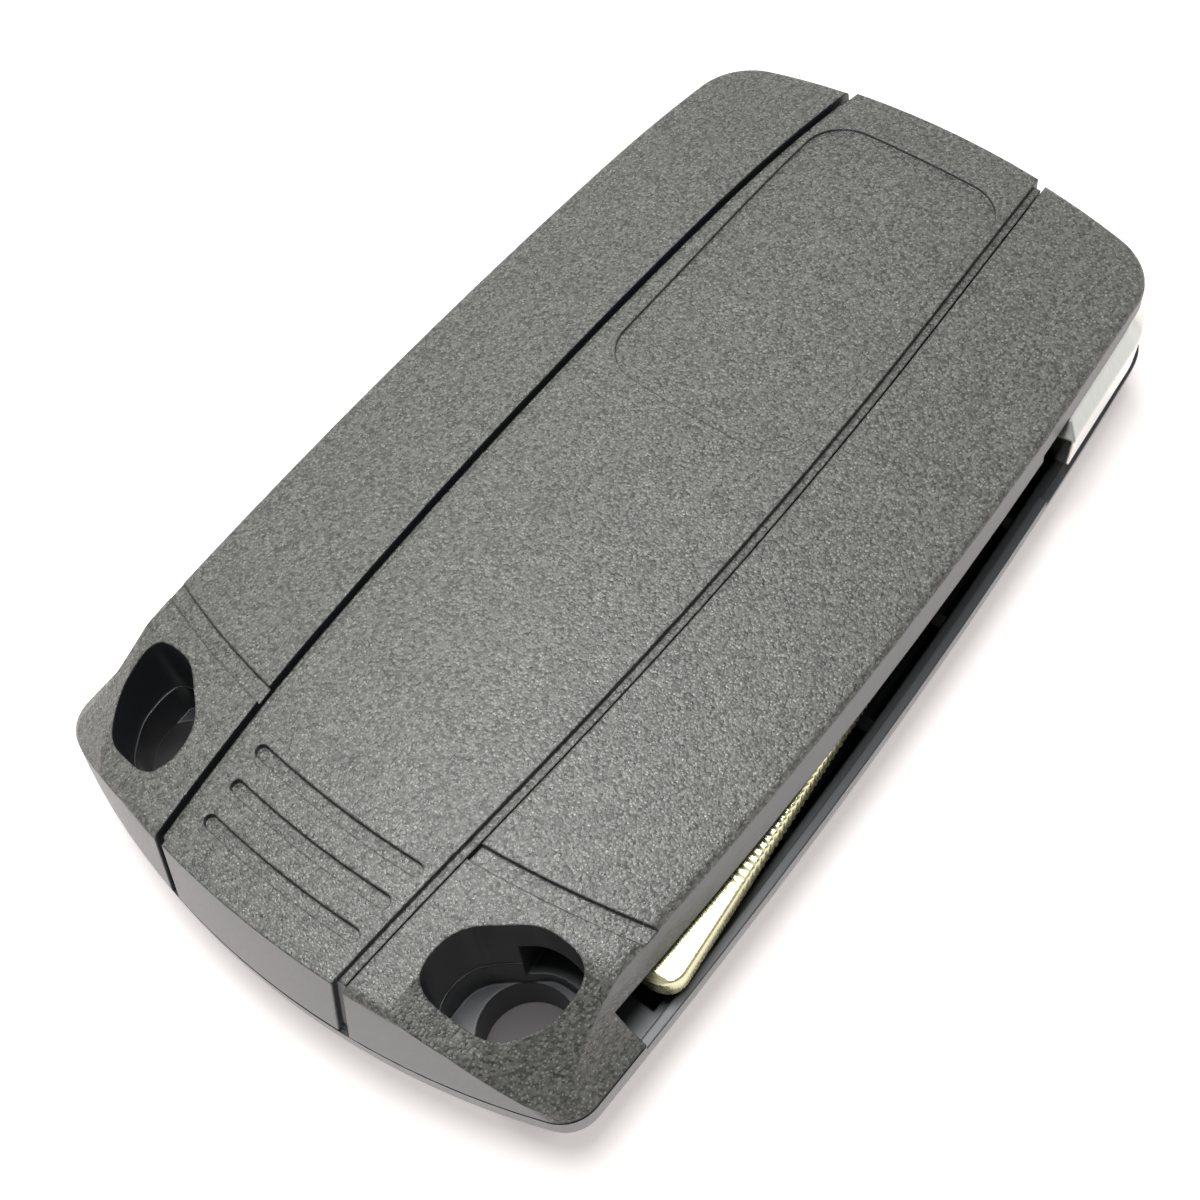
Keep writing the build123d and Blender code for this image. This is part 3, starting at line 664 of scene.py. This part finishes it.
def blade_rings(look):
    """The blank as rings across its length, in its own frame: X across, Y back along it, Z up.

    Each ring is a rectangle with rounded edges.  Its half width shrinks near the tip as the plan's
    corner circles do, and its half thickness as the tip's chamfer does.  The two flats sink by the
    groove's depth inside a long slot outline, and everything outside the groove by the ridges that
    the cutter left: half a cosine of the distance along the blade, fading out before the tip.
    """
    corner_samples, flat_samples, tip_samples, ridge_samples = 5, 41, 22, 6
    fade_length = 4                     # of the ridges, in millimetres
    flat_share, side_share = 0.8, 0.98  # where the flats and the sides begin, of half a size
    low, high = box_mm("key_blade")
    half, thick = look.blade_width / 2, (high[2] - low[2]) / 2
    turn, tip = look.stow_angle, look.tip_round
    reach = (pivot_mm()[1] - low[1] - tip - (half - tip) * np.sin(turn)) / np.cos(turn) + tip

    edge = look.edge_round
    corner = np.linspace(0, np.pi / 2, corner_samples)
    quarter = np.stack([half - edge + edge * np.cos(corner),
                        thick - edge + edge * np.sin(corner)], axis=-1)
    flat = np.stack([np.linspace(half - edge, edge - half, flat_samples + 2)[1:-1],
                     np.full(flat_samples, thick)], axis=-1)
    upper = np.concatenate([quarter, flat, quarter[::-1] * (-1, 1)])
    section = np.concatenate([upper, -upper])

    body = np.arange(look.blade_start, reach - tip, look.ridge_pitch / ridge_samples)
    nose = reach - tip * (1 - np.sin(np.linspace(0, np.pi / 2, tip_samples)))
    along = np.concatenate([body, nose])[:, None]
    into_tip = np.clip(along - (reach - tip), 0, tip)
    width = (half - tip + np.sqrt(tip ** 2 - into_tip ** 2)) / half
    chamfer = look.tip_chamfer * np.clip((along - reach) / look.tip_chamfer + 1, 0, 1)
    x, z = section[None, :, 0] * width, section[None, :, 1] * (1 - chamfer / thick)

    first, last = look.groove_ends
    past = np.maximum(first + look.groove_width / 2 - along, 0) + np.maximum(
        along - (reach - last - look.groove_width / 2), 0)
    inside = np.clip((look.groove_width / 2 - np.hypot(x, past)) / look.groove_slope + 0.5, 0, 1)
    fade = np.clip((reach - look.smooth_tip - along) / fade_length, 0, 1)
    wave = 0.5 - 0.5 * np.cos(2 * np.pi * along / look.ridge_pitch)
    ridges = look.ridge_depth * fade * (1 - inside) * wave
    on_flat, on_side = np.abs(z) > flat_share * thick, np.abs(x) > side_share * half
    z = np.sign(z) * (np.abs(z) - look.groove_depth * inside - ridges * on_flat)
    x = x - np.sign(x) * ridges * on_side
    return np.stack([x, -along + 0 * x, z + (low[2] + high[2]) / 2], axis=-1)


def stowed(rings, turn):
    """Turns rings from the blade's own frame by its rest angle, about the pivot."""
    x, y, z = np.moveaxis(rings, -1, 0)
    centre = pivot_mm()
    return np.stack([centre[0] + x * np.cos(turn) - y * np.sin(turn),
                     centre[1] + x * np.sin(turn) + y * np.cos(turn), z], axis=-1)


def spring_path(look):
    """A helix whose end turns lie close together: the height is a bent line of the turns made."""
    closed_turns, closed_pitch = 0.9, 1.04      # at each end, and their pitch in wire diameters
    samples = 48                                # per turn
    low, high = box_mm("flip_spring")
    wire = look.spring_wire / 2
    radius = (high[0] - low[0]) / 2 - wire
    turns = np.linspace(0, look.spring_turns, int(look.spring_turns * samples))
    rise = high[2] - low[2] - 2 * wire
    closed = closed_turns * look.spring_wire * closed_pitch
    lift = np.interp(turns, (0, closed_turns, look.spring_turns - closed_turns, look.spring_turns),
                     (0, closed, rise - closed, rise))
    angle = 2 * np.pi * turns
    centre = (low + high) / 2
    return np.stack([centre[0] + radius * np.cos(angle), centre[1] + radius * np.sin(angle),
                     low[2] + wire + lift], axis=-1)


def release_rings(look):
    """The release button turned about its axis: a dished cap with rings, a flange and a stem.

    The dish is deepest in the middle, less by the square of the distance from it, and the rings
    are a cosine of that distance.
    """
    middle, plain, ring_height = 0.15, 0.9, 0.02    # radii where the face and its rings begin
    under, over, bevel = 1.6, 2.4, 0.06             # the flange
    stem, chamfer = 1.2, 0.15
    face_samples, edge_samples = 60, 8
    low, high = box_mm("release_button")
    flange = (high[0] - low[0]) / 2
    cap, edge = flange - look.release_lip, look.release_round
    out = np.linspace(middle, cap - edge, face_samples)
    dish = look.release_dish * (1 - (out / (cap - edge)) ** 2)
    rings = ring_height * (1 - np.cos(2 * np.pi * out / look.release_ring)) * (out > plain)
    turn = np.linspace(0, np.pi / 2, edge_samples)[1:]
    radii = np.concatenate([out, cap - edge + edge * np.sin(turn), (
        cap, flange - bevel, flange, flange, flange - bevel, stem + bevel, stem, stem,
        stem - chamfer)])
    heights = np.concatenate([low[2] + dish + rings, low[2] + edge * (1 - np.cos(turn)), (
        under, under, under + bevel, over - bevel, over, over, over + bevel, high[2] - chamfer,
        high[2])])
    return lathe(radii, heights, (low + high) / 2)


def button_rings(look, node):
    """A push button as rounded rectangles: a dished face, a round edge, a flange and its back.

    Over the face the height is the dish's depth times one less the square of the ring's share of
    the outline.  Over the edge both the outline and the height follow a quarter circle.
    """
    face_rings, edge_rings, bevel = 25, 9, 0.05
    front_middle, back_middle = 0.04, 0.05  # smallest rings, as shares of the outline
    low, high = box_mm(node)
    half = (high - low)[:2] / 2 - look.flange
    centre = (low + high) / 2
    edge = look.button_round
    share = np.linspace(front_middle, 1, face_rings + 1)[:-1]
    turn = np.linspace(0, np.pi / 2, edge_rings)
    inner, outer = look.flange - bevel, look.flange
    grow = np.concatenate([np.full(face_rings, -edge), edge * np.sin(turn) - edge,
                           (0, inner, outer, outer, inner, inner)])
    scale = np.concatenate([share, np.ones(edge_rings + 5), (back_middle,)])
    height = np.concatenate([
        low[2] + look.button_dish * (1 - share ** 2), low[2] + edge * (1 - np.cos(turn)),
        (look.floor_top, look.floor_top, look.floor_top + bevel, high[2] - bevel, high[2],
         high[2])])
    rings = [rounded_rectangle(*(half + more), look.button_corner + more) * part
             for more, part in zip(grow, scale)]
    flat = np.stack(rings) + centre[:2]
    level = np.broadcast_to(height[:, None, None], (*flat.shape[:2], 1))
    return np.concatenate([flat, level], axis=-1)


def stroke(points, step=0.08, closed=False):
    """Points evenly spaced along a polyline, about a step apart."""
    points = np.asarray(points, dtype=float)
    if closed:
        points = np.concatenate([points, points[:1]])
    length = np.concatenate([[0], np.cumsum(np.linalg.norm(np.diff(points, axis=0), axis=1))])
    count = int(length[-1] / step)
    at = np.linspace(0, length[-1], count, endpoint=not closed)
    return np.stack([np.interp(at, length, points[:, axis]) for axis in range(2)], axis=-1)


def arch(middle, radius, leg_left, leg_right, samples=13):
    """An upside-down U: two legs of given lengths under a half circle."""
    turn = np.linspace(np.pi, 0, samples)
    top = np.stack([middle[0] + radius * np.cos(turn), middle[1] + radius * np.sin(turn)], axis=-1)
    return np.concatenate([top[:1] - (0, leg_left), top, top[-1:] - (0, leg_right)])


def icon_strokes():
    """Line drawings for the three buttons: a shut padlock, an open one, a car with its lid up.

    Each stroke is its points in millimetres from the icon's middle, and whether it is closed.
    """
    body = rounded_rectangle(1.25, 0.95, corner=0.3, per_corner=5) - (0, 0.75)
    shut = [(body, True),
            (arch((0, 0.75), radius=0.78, leg_left=0.55, leg_right=0.55), False)]
    opened = [(body, True),
              (arch((1.5, 0.95), radius=0.78, leg_left=0.75, leg_right=0.2), False)]
    car = np.array([(-2.5, -1.0), (2.5, -1.0), (2.5, -0.1), (1.4, 0.1), (0.6, 1.0), (-1.0, 1.0),
                    (-1.7, 0.1), (-2.5, 0.0)])
    lid = np.array([(-1.75, 0.55), (-2.2, 1.0), (-2.9, 1.25)])
    wheel = rounded_rectangle(0.42, 0.42, corner=0.41, per_corner=6)
    wheels = [(wheel + (x, -1.15), True) for x in (-1.45, 1.45)]
    return {"lock_button": shut, "unlock_button": opened,
            "trunk_button": [(car, True), (lid, False), *wheels]}


def icon_rings(look, node):
    """An icon's strokes as flat round-edged bars, half sunk in the face and read from below."""
    low, high = box_mm(node)
    centre = (low + high) / 2
    parts = []
    for points, closed in icon_strokes()[node]:
        flat = stroke(points, closed=closed) * (-look.icon_size, look.icon_size) + centre[:2]
        path = np.concatenate([flat, np.full((len(flat), 1), low[2] + look.icon_lift)], axis=1)
        parts.append(tube(path, look.icon_stroke / 2, look.icon_relief, closed=closed))
    return parts


# What a user would change

def number(name, description, default, **kind):
    """A setting that is a plain number."""
    return bpy.props.FloatProperty(name=name, description=description, default=default, **kind)


def length_mm(name, description, default):
    """A setting that is a length in millimetres."""
    return number(name, description + ", in millimetres", default)


def fraction(name, description, default):
    """A setting from 0 to 1."""
    return number(name, description, default, min=0, max=1, subtype="FACTOR")


def angle_from(name, description, degrees):
    """A setting that is an angle, given in degrees."""
    return number(name, description, np.radians(degrees), subtype="ANGLE")


def hex_colour(name, description, default):
    """A setting that is a colour."""
    return bpy.props.StringProperty(name=name, description=description + ", as sRGB hex",
                                    default=default)


def vector(name, description, default, **kind):
    """A setting with two or three numbers."""
    return bpy.props.FloatVectorProperty(name=name, description=description, default=default,
                                         size=len(default), **kind)


class CaseLook(bpy.types.PropertyGroup):
    """Plastic of the case"""
    case_dark: hex_colour("Case dark", "Darker tone of the case", "#535450")
    case_light: hex_colour("Case light", "Lighter tone of the case", "#5d5e59")
    # Painted light: the walls are paler for the light bounced up from the floor
    lit_wall_colour: hex_colour("Walls", "Colour of the smoother sides", "#7d7f80")
    # Painted shade: the inside is darkened for the shade in the slot, the gaps and the tunnels
    shaded_inside_colour: hex_colour("Inside", "Colour of the plain inside", "#33363a")
    # Painted highlight: specks painted into the colour for the glints of the grain's domes
    glint_paint_colour: hex_colour("Specks", "Colour of the brightest domes of the grain", "#c8c7be")
    glint_paint_share: fraction("Speck share", "Share of the domes that show as specks", 0.6)
    glint_paint_strength: fraction("Speck strength", "How far a speck goes towards its colour", 0.4)
    case_roughness: fraction("Roughness", "Roughness of the matte skin", 0.38)
    grain: length_mm("Grain", "Width of one dome of the texture", 0.17)
    grain_depth: length_mm("Grain depth", "Height of the domes", 0.025)
    mottle: fraction("Mottle", "How much the tone differs between the grain's domes", 0.65)
    glint: fraction("Glint", "How much the roughness differs between the grain's domes", 0.16)
    # Painted shade: how far the colour is darkened along edges and grooves
    painted_edge_shade: fraction("Edge tone", "Brightness of the colour along edges and grooves", 0.45)
    edge_softness: length_mm("Edge softness", "Radius of the moulded edges", 0.2)
    opening_blur: angle_from(
        "Opening blur", "How widely the outlines of the keyring openings are rounded", 10.0)


class BladeLook(bpy.types.PropertyGroup):
    """The folding blade, its head and its spring"""
    blade_width: length_mm("Width", "Width of the blank", 8.1)
    blade_start: length_mm("Start", "Pivot to where the blank leaves its seat", 8.45)
    stow_angle: angle_from("Rest angle", "The folded blade's angle from the long axis", 4.2)
    tip_round: length_mm("Tip radius", "Corner radius of the tip", 1.5)
    tip_chamfer: length_mm("Tip chamfer", "Chamfer of the tip", 0.5)
    edge_round: length_mm("Edge radius", "Radius of the long edges", 0.22)
    groove_width: length_mm("Groove width", "Width of the groove in each flat", 3.0)
    groove_depth: length_mm("Groove depth", "Depth of the grooves", 0.55)
    groove_slope: length_mm("Groove slope", "Width of the groove's sloping sides", 0.45)
    groove_ends: vector(
        "Groove ends", "Pivot to the groove's start, and its end to the tip, in millimetres",
        (15.0, 4.2))
    ridge_pitch: length_mm("Ridge pitch", "Spacing of the cutter's ridges", 0.5)
    ridge_depth: length_mm("Ridge depth", "Depth between the ridges", 0.07)
    smooth_tip: length_mm("Smooth tip", "Length without ridges at the tip", 6.5)
    blade_colour: hex_colour("Blade", "Colour of the blade's plating", "#e2e0b4")
    stain_colour: hex_colour("Stain", "Colour where the tip's plating is burnt", "#a8642c")
    chrome_colour: hex_colour("Chrome", "Colour of the head's plating", "#f0f0ea")
    spring_wire: length_mm("Spring wire", "Diameter of the spring's wire", 0.5)
    spring_turns: number("Spring turns", "Turns of the spring, closed ends included", 6.5)
    spring_keep: fraction(
        "Spring pressed", "Share of the spring's length left when the button is pressed", 0.78)


class ButtonLook(bpy.types.PropertyGroup):
    """The three remote buttons and the release button"""
    flange: length_mm("Flange", "Width of the flange behind the case", 0.5)
    floor_top: length_mm("Flange height", "Underside of the flange over the floor", 1.6)
    button_corner: length_mm("Corner", "Corner radius of a button", 2.8)
    button_round: length_mm("Edge", "Radius of a button's edge", 0.5)
    button_dish: length_mm("Dish", "Depth of a button's hollow face", 0.16)
    rubber_colour: hex_colour("Rubber", "Colour of the buttons", "#262628")
    icon_colour: hex_colour("Icons", "Colour of the icons", "#cfcfca")
    icon_size: number("Icon size", "Scale of the icons", 1.0)
    icon_stroke: length_mm("Icon stroke", "Width of the icons' lines", 0.34)
    icon_relief: length_mm("Icon relief", "Half the thickness of the icons' lines", 0.09)
    icon_lift: length_mm(
        "Icon height", "Middle of the icons' lines over the button's low edge", 0.13)
    release_lip: length_mm(
        "Release lip", "How far the release button's flange stands out", 0.3)
    release_round: length_mm("Release edge", "Radius of the release button's edge", 0.4)
    release_dish: length_mm("Release dish", "Depth of the release button's hollow", 0.18)
    release_ring: length_mm("Release rings", "Spacing of the turned rings", 0.32)


class StageLook(bpy.types.PropertyGroup):
    """Camera, floor and light"""
    azimuth: angle_from("Azimuth", "Camera's turn about Z, from looking along +Y", 44.773)
    elevation: angle_from("Elevation", "Camera's height angle", 59.792)
    roll: angle_from("Roll", "Camera's turn about its own view", 7.628)
    lens: length_mm("Lens", "Focal length on a 36 mm wide sensor", 48.35)
    distance: length_mm("Distance", "Camera to the point it looks at", 94.15)
    look_at: vector("Looks at", "Point in the middle of the picture, in millimetres",
                    (4.054, -8.916, 14.4), subtype="XYZ")
    floor_colour: hex_colour("Floor", "Floor colour", "#f8f2f0")
    floor_gain: number("Floor gain", "Share of the floor's light that the camera sees", 0.86)
    floor_glow: number(
        "Floor glow", "Light that the camera sees on the floor even in the shade", 0.55)
    shade_colour: hex_colour("Shade", "Floor colour under the case", "#5d5a5b")
    shade_patch: vector("Shade patch", "Half sizes of the shaded patch, in millimetres",
                        (18.5, 34.0))
    sky: number("Sky", "Strength of the even light from all round", 0.2)
    room: number("Room", "Brightness of the room in reflections", 0.9)
    dark_side: vector("Dark side",
                      "Direction of the room's dark side, towards whoever holds the camera",
                      (0.73, -0.42, 0.54), subtype="DIRECTION")
    dark_share: fraction("Dark share", "What is left of the light there", 0.3)
    overhead: number("Overhead lamp", "Power of the lamp over the near end, in watts", 0.3,
                     unit="POWER")
    side: number("Side lamp", "Power of the lamp on the left, in watts", 0.55, unit="POWER")


class FLIPKEY_OT_stage(bpy.types.Operator):
    """Pale floor, soft lamps and the camera"""
    bl_idname = "flipkey.stage"
    bl_label = "Stage"

    def execute(self, context):
        look = context.scene.flipkey_stage
        self.place_camera(context.scene, look)
        self.lay_floor(context.scene, look)
        self.hang_lamps(context.scene, look)
        context.scene.view_settings.view_transform = "Standard"
        return {"FINISHED"}

    def place_camera(self, scene, look):
        """Camera on a sphere round look_at, turned by roll about its own view."""
        az, el, roll = look.azimuth, look.elevation, look.roll
        back = np.array([np.sin(az) * np.cos(el), -np.cos(az) * np.cos(el), np.sin(el)])
        right = np.cross(-back, [0, 0, 1])
        right /= np.linalg.norm(right)
        down = np.cross(-back, right)
        across = np.cos(roll) * right + np.sin(roll) * down
        up = np.sin(roll) * right - np.cos(roll) * down
        eye = (np.array(look.look_at) + back * look.distance) * MM
        lens = bpy.data.cameras.new("camera")
        lens.sensor_width = 36.0
        lens.lens = look.lens
        lens.clip_start = 0.005
        lens.clip_end = 20.0
        camera = bpy.data.objects.new("camera", lens)
        scene.collection.objects.link(camera)
        turn = np.eye(4)
        turn[:3] = np.stack([across, up, back, eye], axis=1)
        camera.matrix_world = Matrix(turn.tolist())
        scene.camera = camera

    def lay_floor(self, scene, look):
        """A large white card.  The camera sees it brighter than it lights the case, as white as it
        is in an overexposed picture, and the patch that the case stands on is in its shade.
        """
        half, fade, drop = 1500.0, 3.0, 0.02    # card, edge of the shade, gap under the case
        corners = half * np.array([(-1, -1, 0), (1, -1, 0), (1, 1, 0), (-1, 1, 0)])
        mesh = mesh_from("floor", corners, np.array([[0, 1, 2, 3]]))
        material = new_material("Card white uncoated")
        place = add(material, "TexCoord")
        axes = add(material, "SeparateXYZ", {"Vector": (place, "Object")})
        inside = []
        for axis, edge in zip("XY", look.shade_patch):
            away = add(material, "Math", {0: (axes, axis)}, operation="ABSOLUTE")
            inside.append(add(material, "MapRange", {
                "Value": (away, "Value"), "From Min": edge * MM, "From Max": (edge - fade) * MM}))
        under = add(material, "Math", {0: (inside[0], "Result"), 1: (inside[1], "Result")},
                    operation="MULTIPLY")
        colour = add(material, "Mix", {
            FACTOR: (under, "Value"), FIRST: linear(look.floor_colour),
            SECOND: linear(look.shade_colour)}, data_type="RGBA")
        dimmed = add(material, "VectorMath", {0: (colour, MIXED), "Scale": look.floor_gain},
                     operation="SCALE")
        plain = add(material, "BsdfDiffuse", {"Color": (colour, MIXED)})
        lit = add(material, "BsdfDiffuse", {"Color": (dimmed, "Vector")})
        glow = add(material, "Emission", {"Color": (colour, MIXED), "Strength": look.floor_glow})
        white = add(material, "AddShader", {0: (lit, "BSDF"), 1: (glow, "Emission")})
        both = add(material, "MixShader", {
            0: (in_view(material), "Value"), 1: (plain, "BSDF"), 2: (white, "Shader")})
        add(material, "OutputMaterial", {"Surface": (both, "Shader")})
        mesh.materials.append(material)
        floor = bpy.data.objects.new("floor", mesh)
        floor.location.z = -drop * MM
        scene.collection.objects.link(floor)

    def hang_lamps(self, scene, look):
        """A pale room, darker on the camera's side, and a lamp over the near end and on the left.

        The room dims with the cosine of the angle to its dark side.
        """
        world = bpy.data.worlds.new("pale room")
        world.use_nodes = True
        world.node_tree.nodes.clear()
        scene.world = world
        direction = add(world, "TexCoord")
        towards = add(world, "VectorMath", {0: (direction, "Generated"), 1: look.dark_side},
                      operation="DOT_PRODUCT")
        dim = add(world, "MapRange", {
            "Value": (towards, "Value"), "From Min": 0.2, "From Max": 0.85, "To Min": 1.0,
            "To Max": look.dark_share})
        level = add(world, "MapRange", {
            "Value": (in_view(world), "Value"), "To Min": look.sky, "To Max": look.room})
        strength = add(world, "Math", {0: (dim, "Result"), 1: (level, "Result")},
                       operation="MULTIPLY")
        room = add(world, "Background", {
            "Color": (1, 1, 1, 1), "Strength": (strength, "Value")})
        add(world, "OutputWorld", {"Surface": (room, "Background")})
        # Name, place and width in millimetres, and power of each lamp
        for name, place, width, power in (
                ("overhead", (2, -14, 190), 70, look.overhead),
                ("left side", (-240, 90, 400), 200, look.side)):
            light = bpy.data.lights.new(name, "AREA")
            light.shape = "DISK"
            light.size = width * MM
            light.energy = power
            lamp = bpy.data.objects.new(name, light)
            lamp.location = Vector(place) * MM
            lamp.rotation_euler = (-lamp.location).to_track_quat("-Z", "Y").to_euler()
            scene.collection.objects.link(lamp)


class FLIPKEY_OT_case(bpy.types.Operator):
    """Both halves of the case and the battery cover"""
    bl_idname = "flipkey.case"
    bl_label = "Case"

    def execute(self, context):
        look = context.scene.flipkey_case
        plastic = spark_eroded_abs(look)
        whole = case_hull()
        for name, node, body in (
                ("back_half", "back_shell", "case"), ("front_half", "front_shell", "case"),
                ("battery_door", "battery_cover", "cover")):
            dressed_copy(name, node, body, plastic, "case_plastic", whole, look)
        return {"FINISHED"}


class FLIPKEY_OT_blade(bpy.types.Operator):
    """Blade blank and the head that it swings with"""
    bl_idname = "flipkey.blade"
    bl_label = "Blade and head"

    def execute(self, context):
        look = context.scene.flipkey_blade
        chrome = plated_metal("Zinc die casting chrome plated", look.chrome_colour,
                              roughness=0.16, ripple=0.8, depth=0.03, softness=0.3)
        dressed_copy("swivel_head", "flip_head", "blade", chrome, "chrome_plate")
        rings = stowed(blade_rings(look), look.stow_angle)
        piece("blade_blank", skin("blade_blank", rings), milled_blank(look, rings), "blade",
              "blade_metal", "key_blade", sharp_deg=50.0)
        return {"FINISHED"}


class FLIPKEY_OT_spring(bpy.types.Operator):
    """Coil round the release button's stem"""
    bl_idname = "flipkey.spring"
    bl_label = "Spring"

    def execute(self, context):
        look = context.scene.flipkey_blade
        wire = plated_metal("Spring steel drawn", "#8d8e90",
                            roughness=0.3, ripple=0.2, depth=0.01, softness=0.02)
        rings = tube(spring_path(look), look.spring_wire / 2, look.spring_wire / 2)
        coil = piece("coil_spring", skin("coil_spring", rings), wire, "blade", "steel",
                     "flip_spring")
        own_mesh(coil)
        return {"FINISHED"}


class FLIPKEY_OT_buttons(bpy.types.Operator):
    """The three remote buttons with their icons, and the release button"""
    bl_idname = "flipkey.buttons"
    bl_label = "Buttons"

    def execute(self, context):
        look = context.scene.flipkey_buttons
        rubber = moulded_rubber("Silicone rubber black", look.rubber_colour,
                                roughness=0.55, grain=0.25, ior=1.43)
        ink = moulded_rubber("Pad printing ink pale", look.icon_colour,
                             roughness=0.6, grain=0.1, ior=1.5)
        for body in ("lock", "unlock", "trunk"):
            node = body + "_button"
            piece(body + "_cap", skin(body + "_cap", button_rings(look, node)), rubber, body,
                  "button_rubber", node)
            for count, rings in enumerate(icon_rings(look, node), start=1):
                name = f"{body}_icon_{count}"
                piece(name, skin(name, rings), ink, body, "button_rubber")
        chrome = plated_metal("Zinc turned chrome plated", "#dededa",
                              roughness=0.14, ripple=1.5, depth=0.01, softness=0.05)
        piece("release_cap", skin("release_cap", release_rings(look)), chrome, "release",
              "chrome_plate", "release_button")
        return {"FINISHED"}


class FLIPKEY_OT_inside(bpy.types.Operator):
    """The pieces inside the case"""
    bl_idname = "flipkey.inside"
    bl_label = "Inner pieces"

    def execute(self, context):
        pad = moulded_rubber("Silicone rubber grey", "#5b5b5e",
                             roughness=0.65, grain=0.25, ior=1.43)
        tray = moulded_rubber("Nylon moulded black", "#1d1d1e",
                              roughness=0.5, grain=0.25, ior=1.53)
        steel = plated_metal("Steel zinc plated", "#b9bbbd",
                             roughness=0.35, ripple=0.3, depth=0.01, softness=0.05)
        for node, material, slot, body in (
                ("button_pad", pad, "pad_rubber", "case"),
                ("battery_tray", tray, "tray_plastic", "case"),
                ("blade_pin", steel, "steel", "blade"), ("pivot_washer", steel, "steel", "case"),
                ("case_screws", steel, "steel", "case")):
            dressed_copy(node + "_finished", node, body, material, slot)
        return {"FINISHED"}


class FLIPKEY_PT_panel(bpy.types.Panel):
    """Lists the steps in the 3D view's sidebar"""
    bl_label = "Flip key shell"
    bl_idname = "FLIPKEY_PT_panel"
    bl_space_type = "VIEW_3D"
    bl_region_type = "UI"
    bl_category = "Flip Key"

    def draw(self, context):
        for operator in STEPS:
            self.layout.operator(operator.bl_idname)


STEPS = (FLIPKEY_OT_stage, FLIPKEY_OT_case, FLIPKEY_OT_blade, FLIPKEY_OT_spring, FLIPKEY_OT_buttons,
         FLIPKEY_OT_inside)
GROUPS = {"flipkey_case": CaseLook, "flipkey_blade": BladeLook, "flipkey_buttons": ButtonLook,
          "flipkey_stage": StageLook}
CLASSES = (*GROUPS.values(), *STEPS, FLIPKEY_PT_panel)


def register():
    """Adds the classes, and each group of settings to the scene."""
    for cls in CLASSES:
        bpy.utils.register_class(cls)
    for name, group in GROUPS.items():
        setattr(bpy.types.Scene, name, bpy.props.PointerProperty(type=group))


def unregister():
    """Takes out what register added."""
    for name in GROUPS:
        delattr(bpy.types.Scene, name)
    for cls in reversed(CLASSES):
        bpy.utils.unregister_class(cls)


def main():
    """Makes every piece."""
    register()
    bpy.ops.flipkey.stage()
    bpy.ops.flipkey.case()
    bpy.ops.flipkey.blade()
    bpy.ops.flipkey.spring()
    bpy.ops.flipkey.buttons()
    bpy.ops.flipkey.inside()


if __name__ == "__main__":
    main()
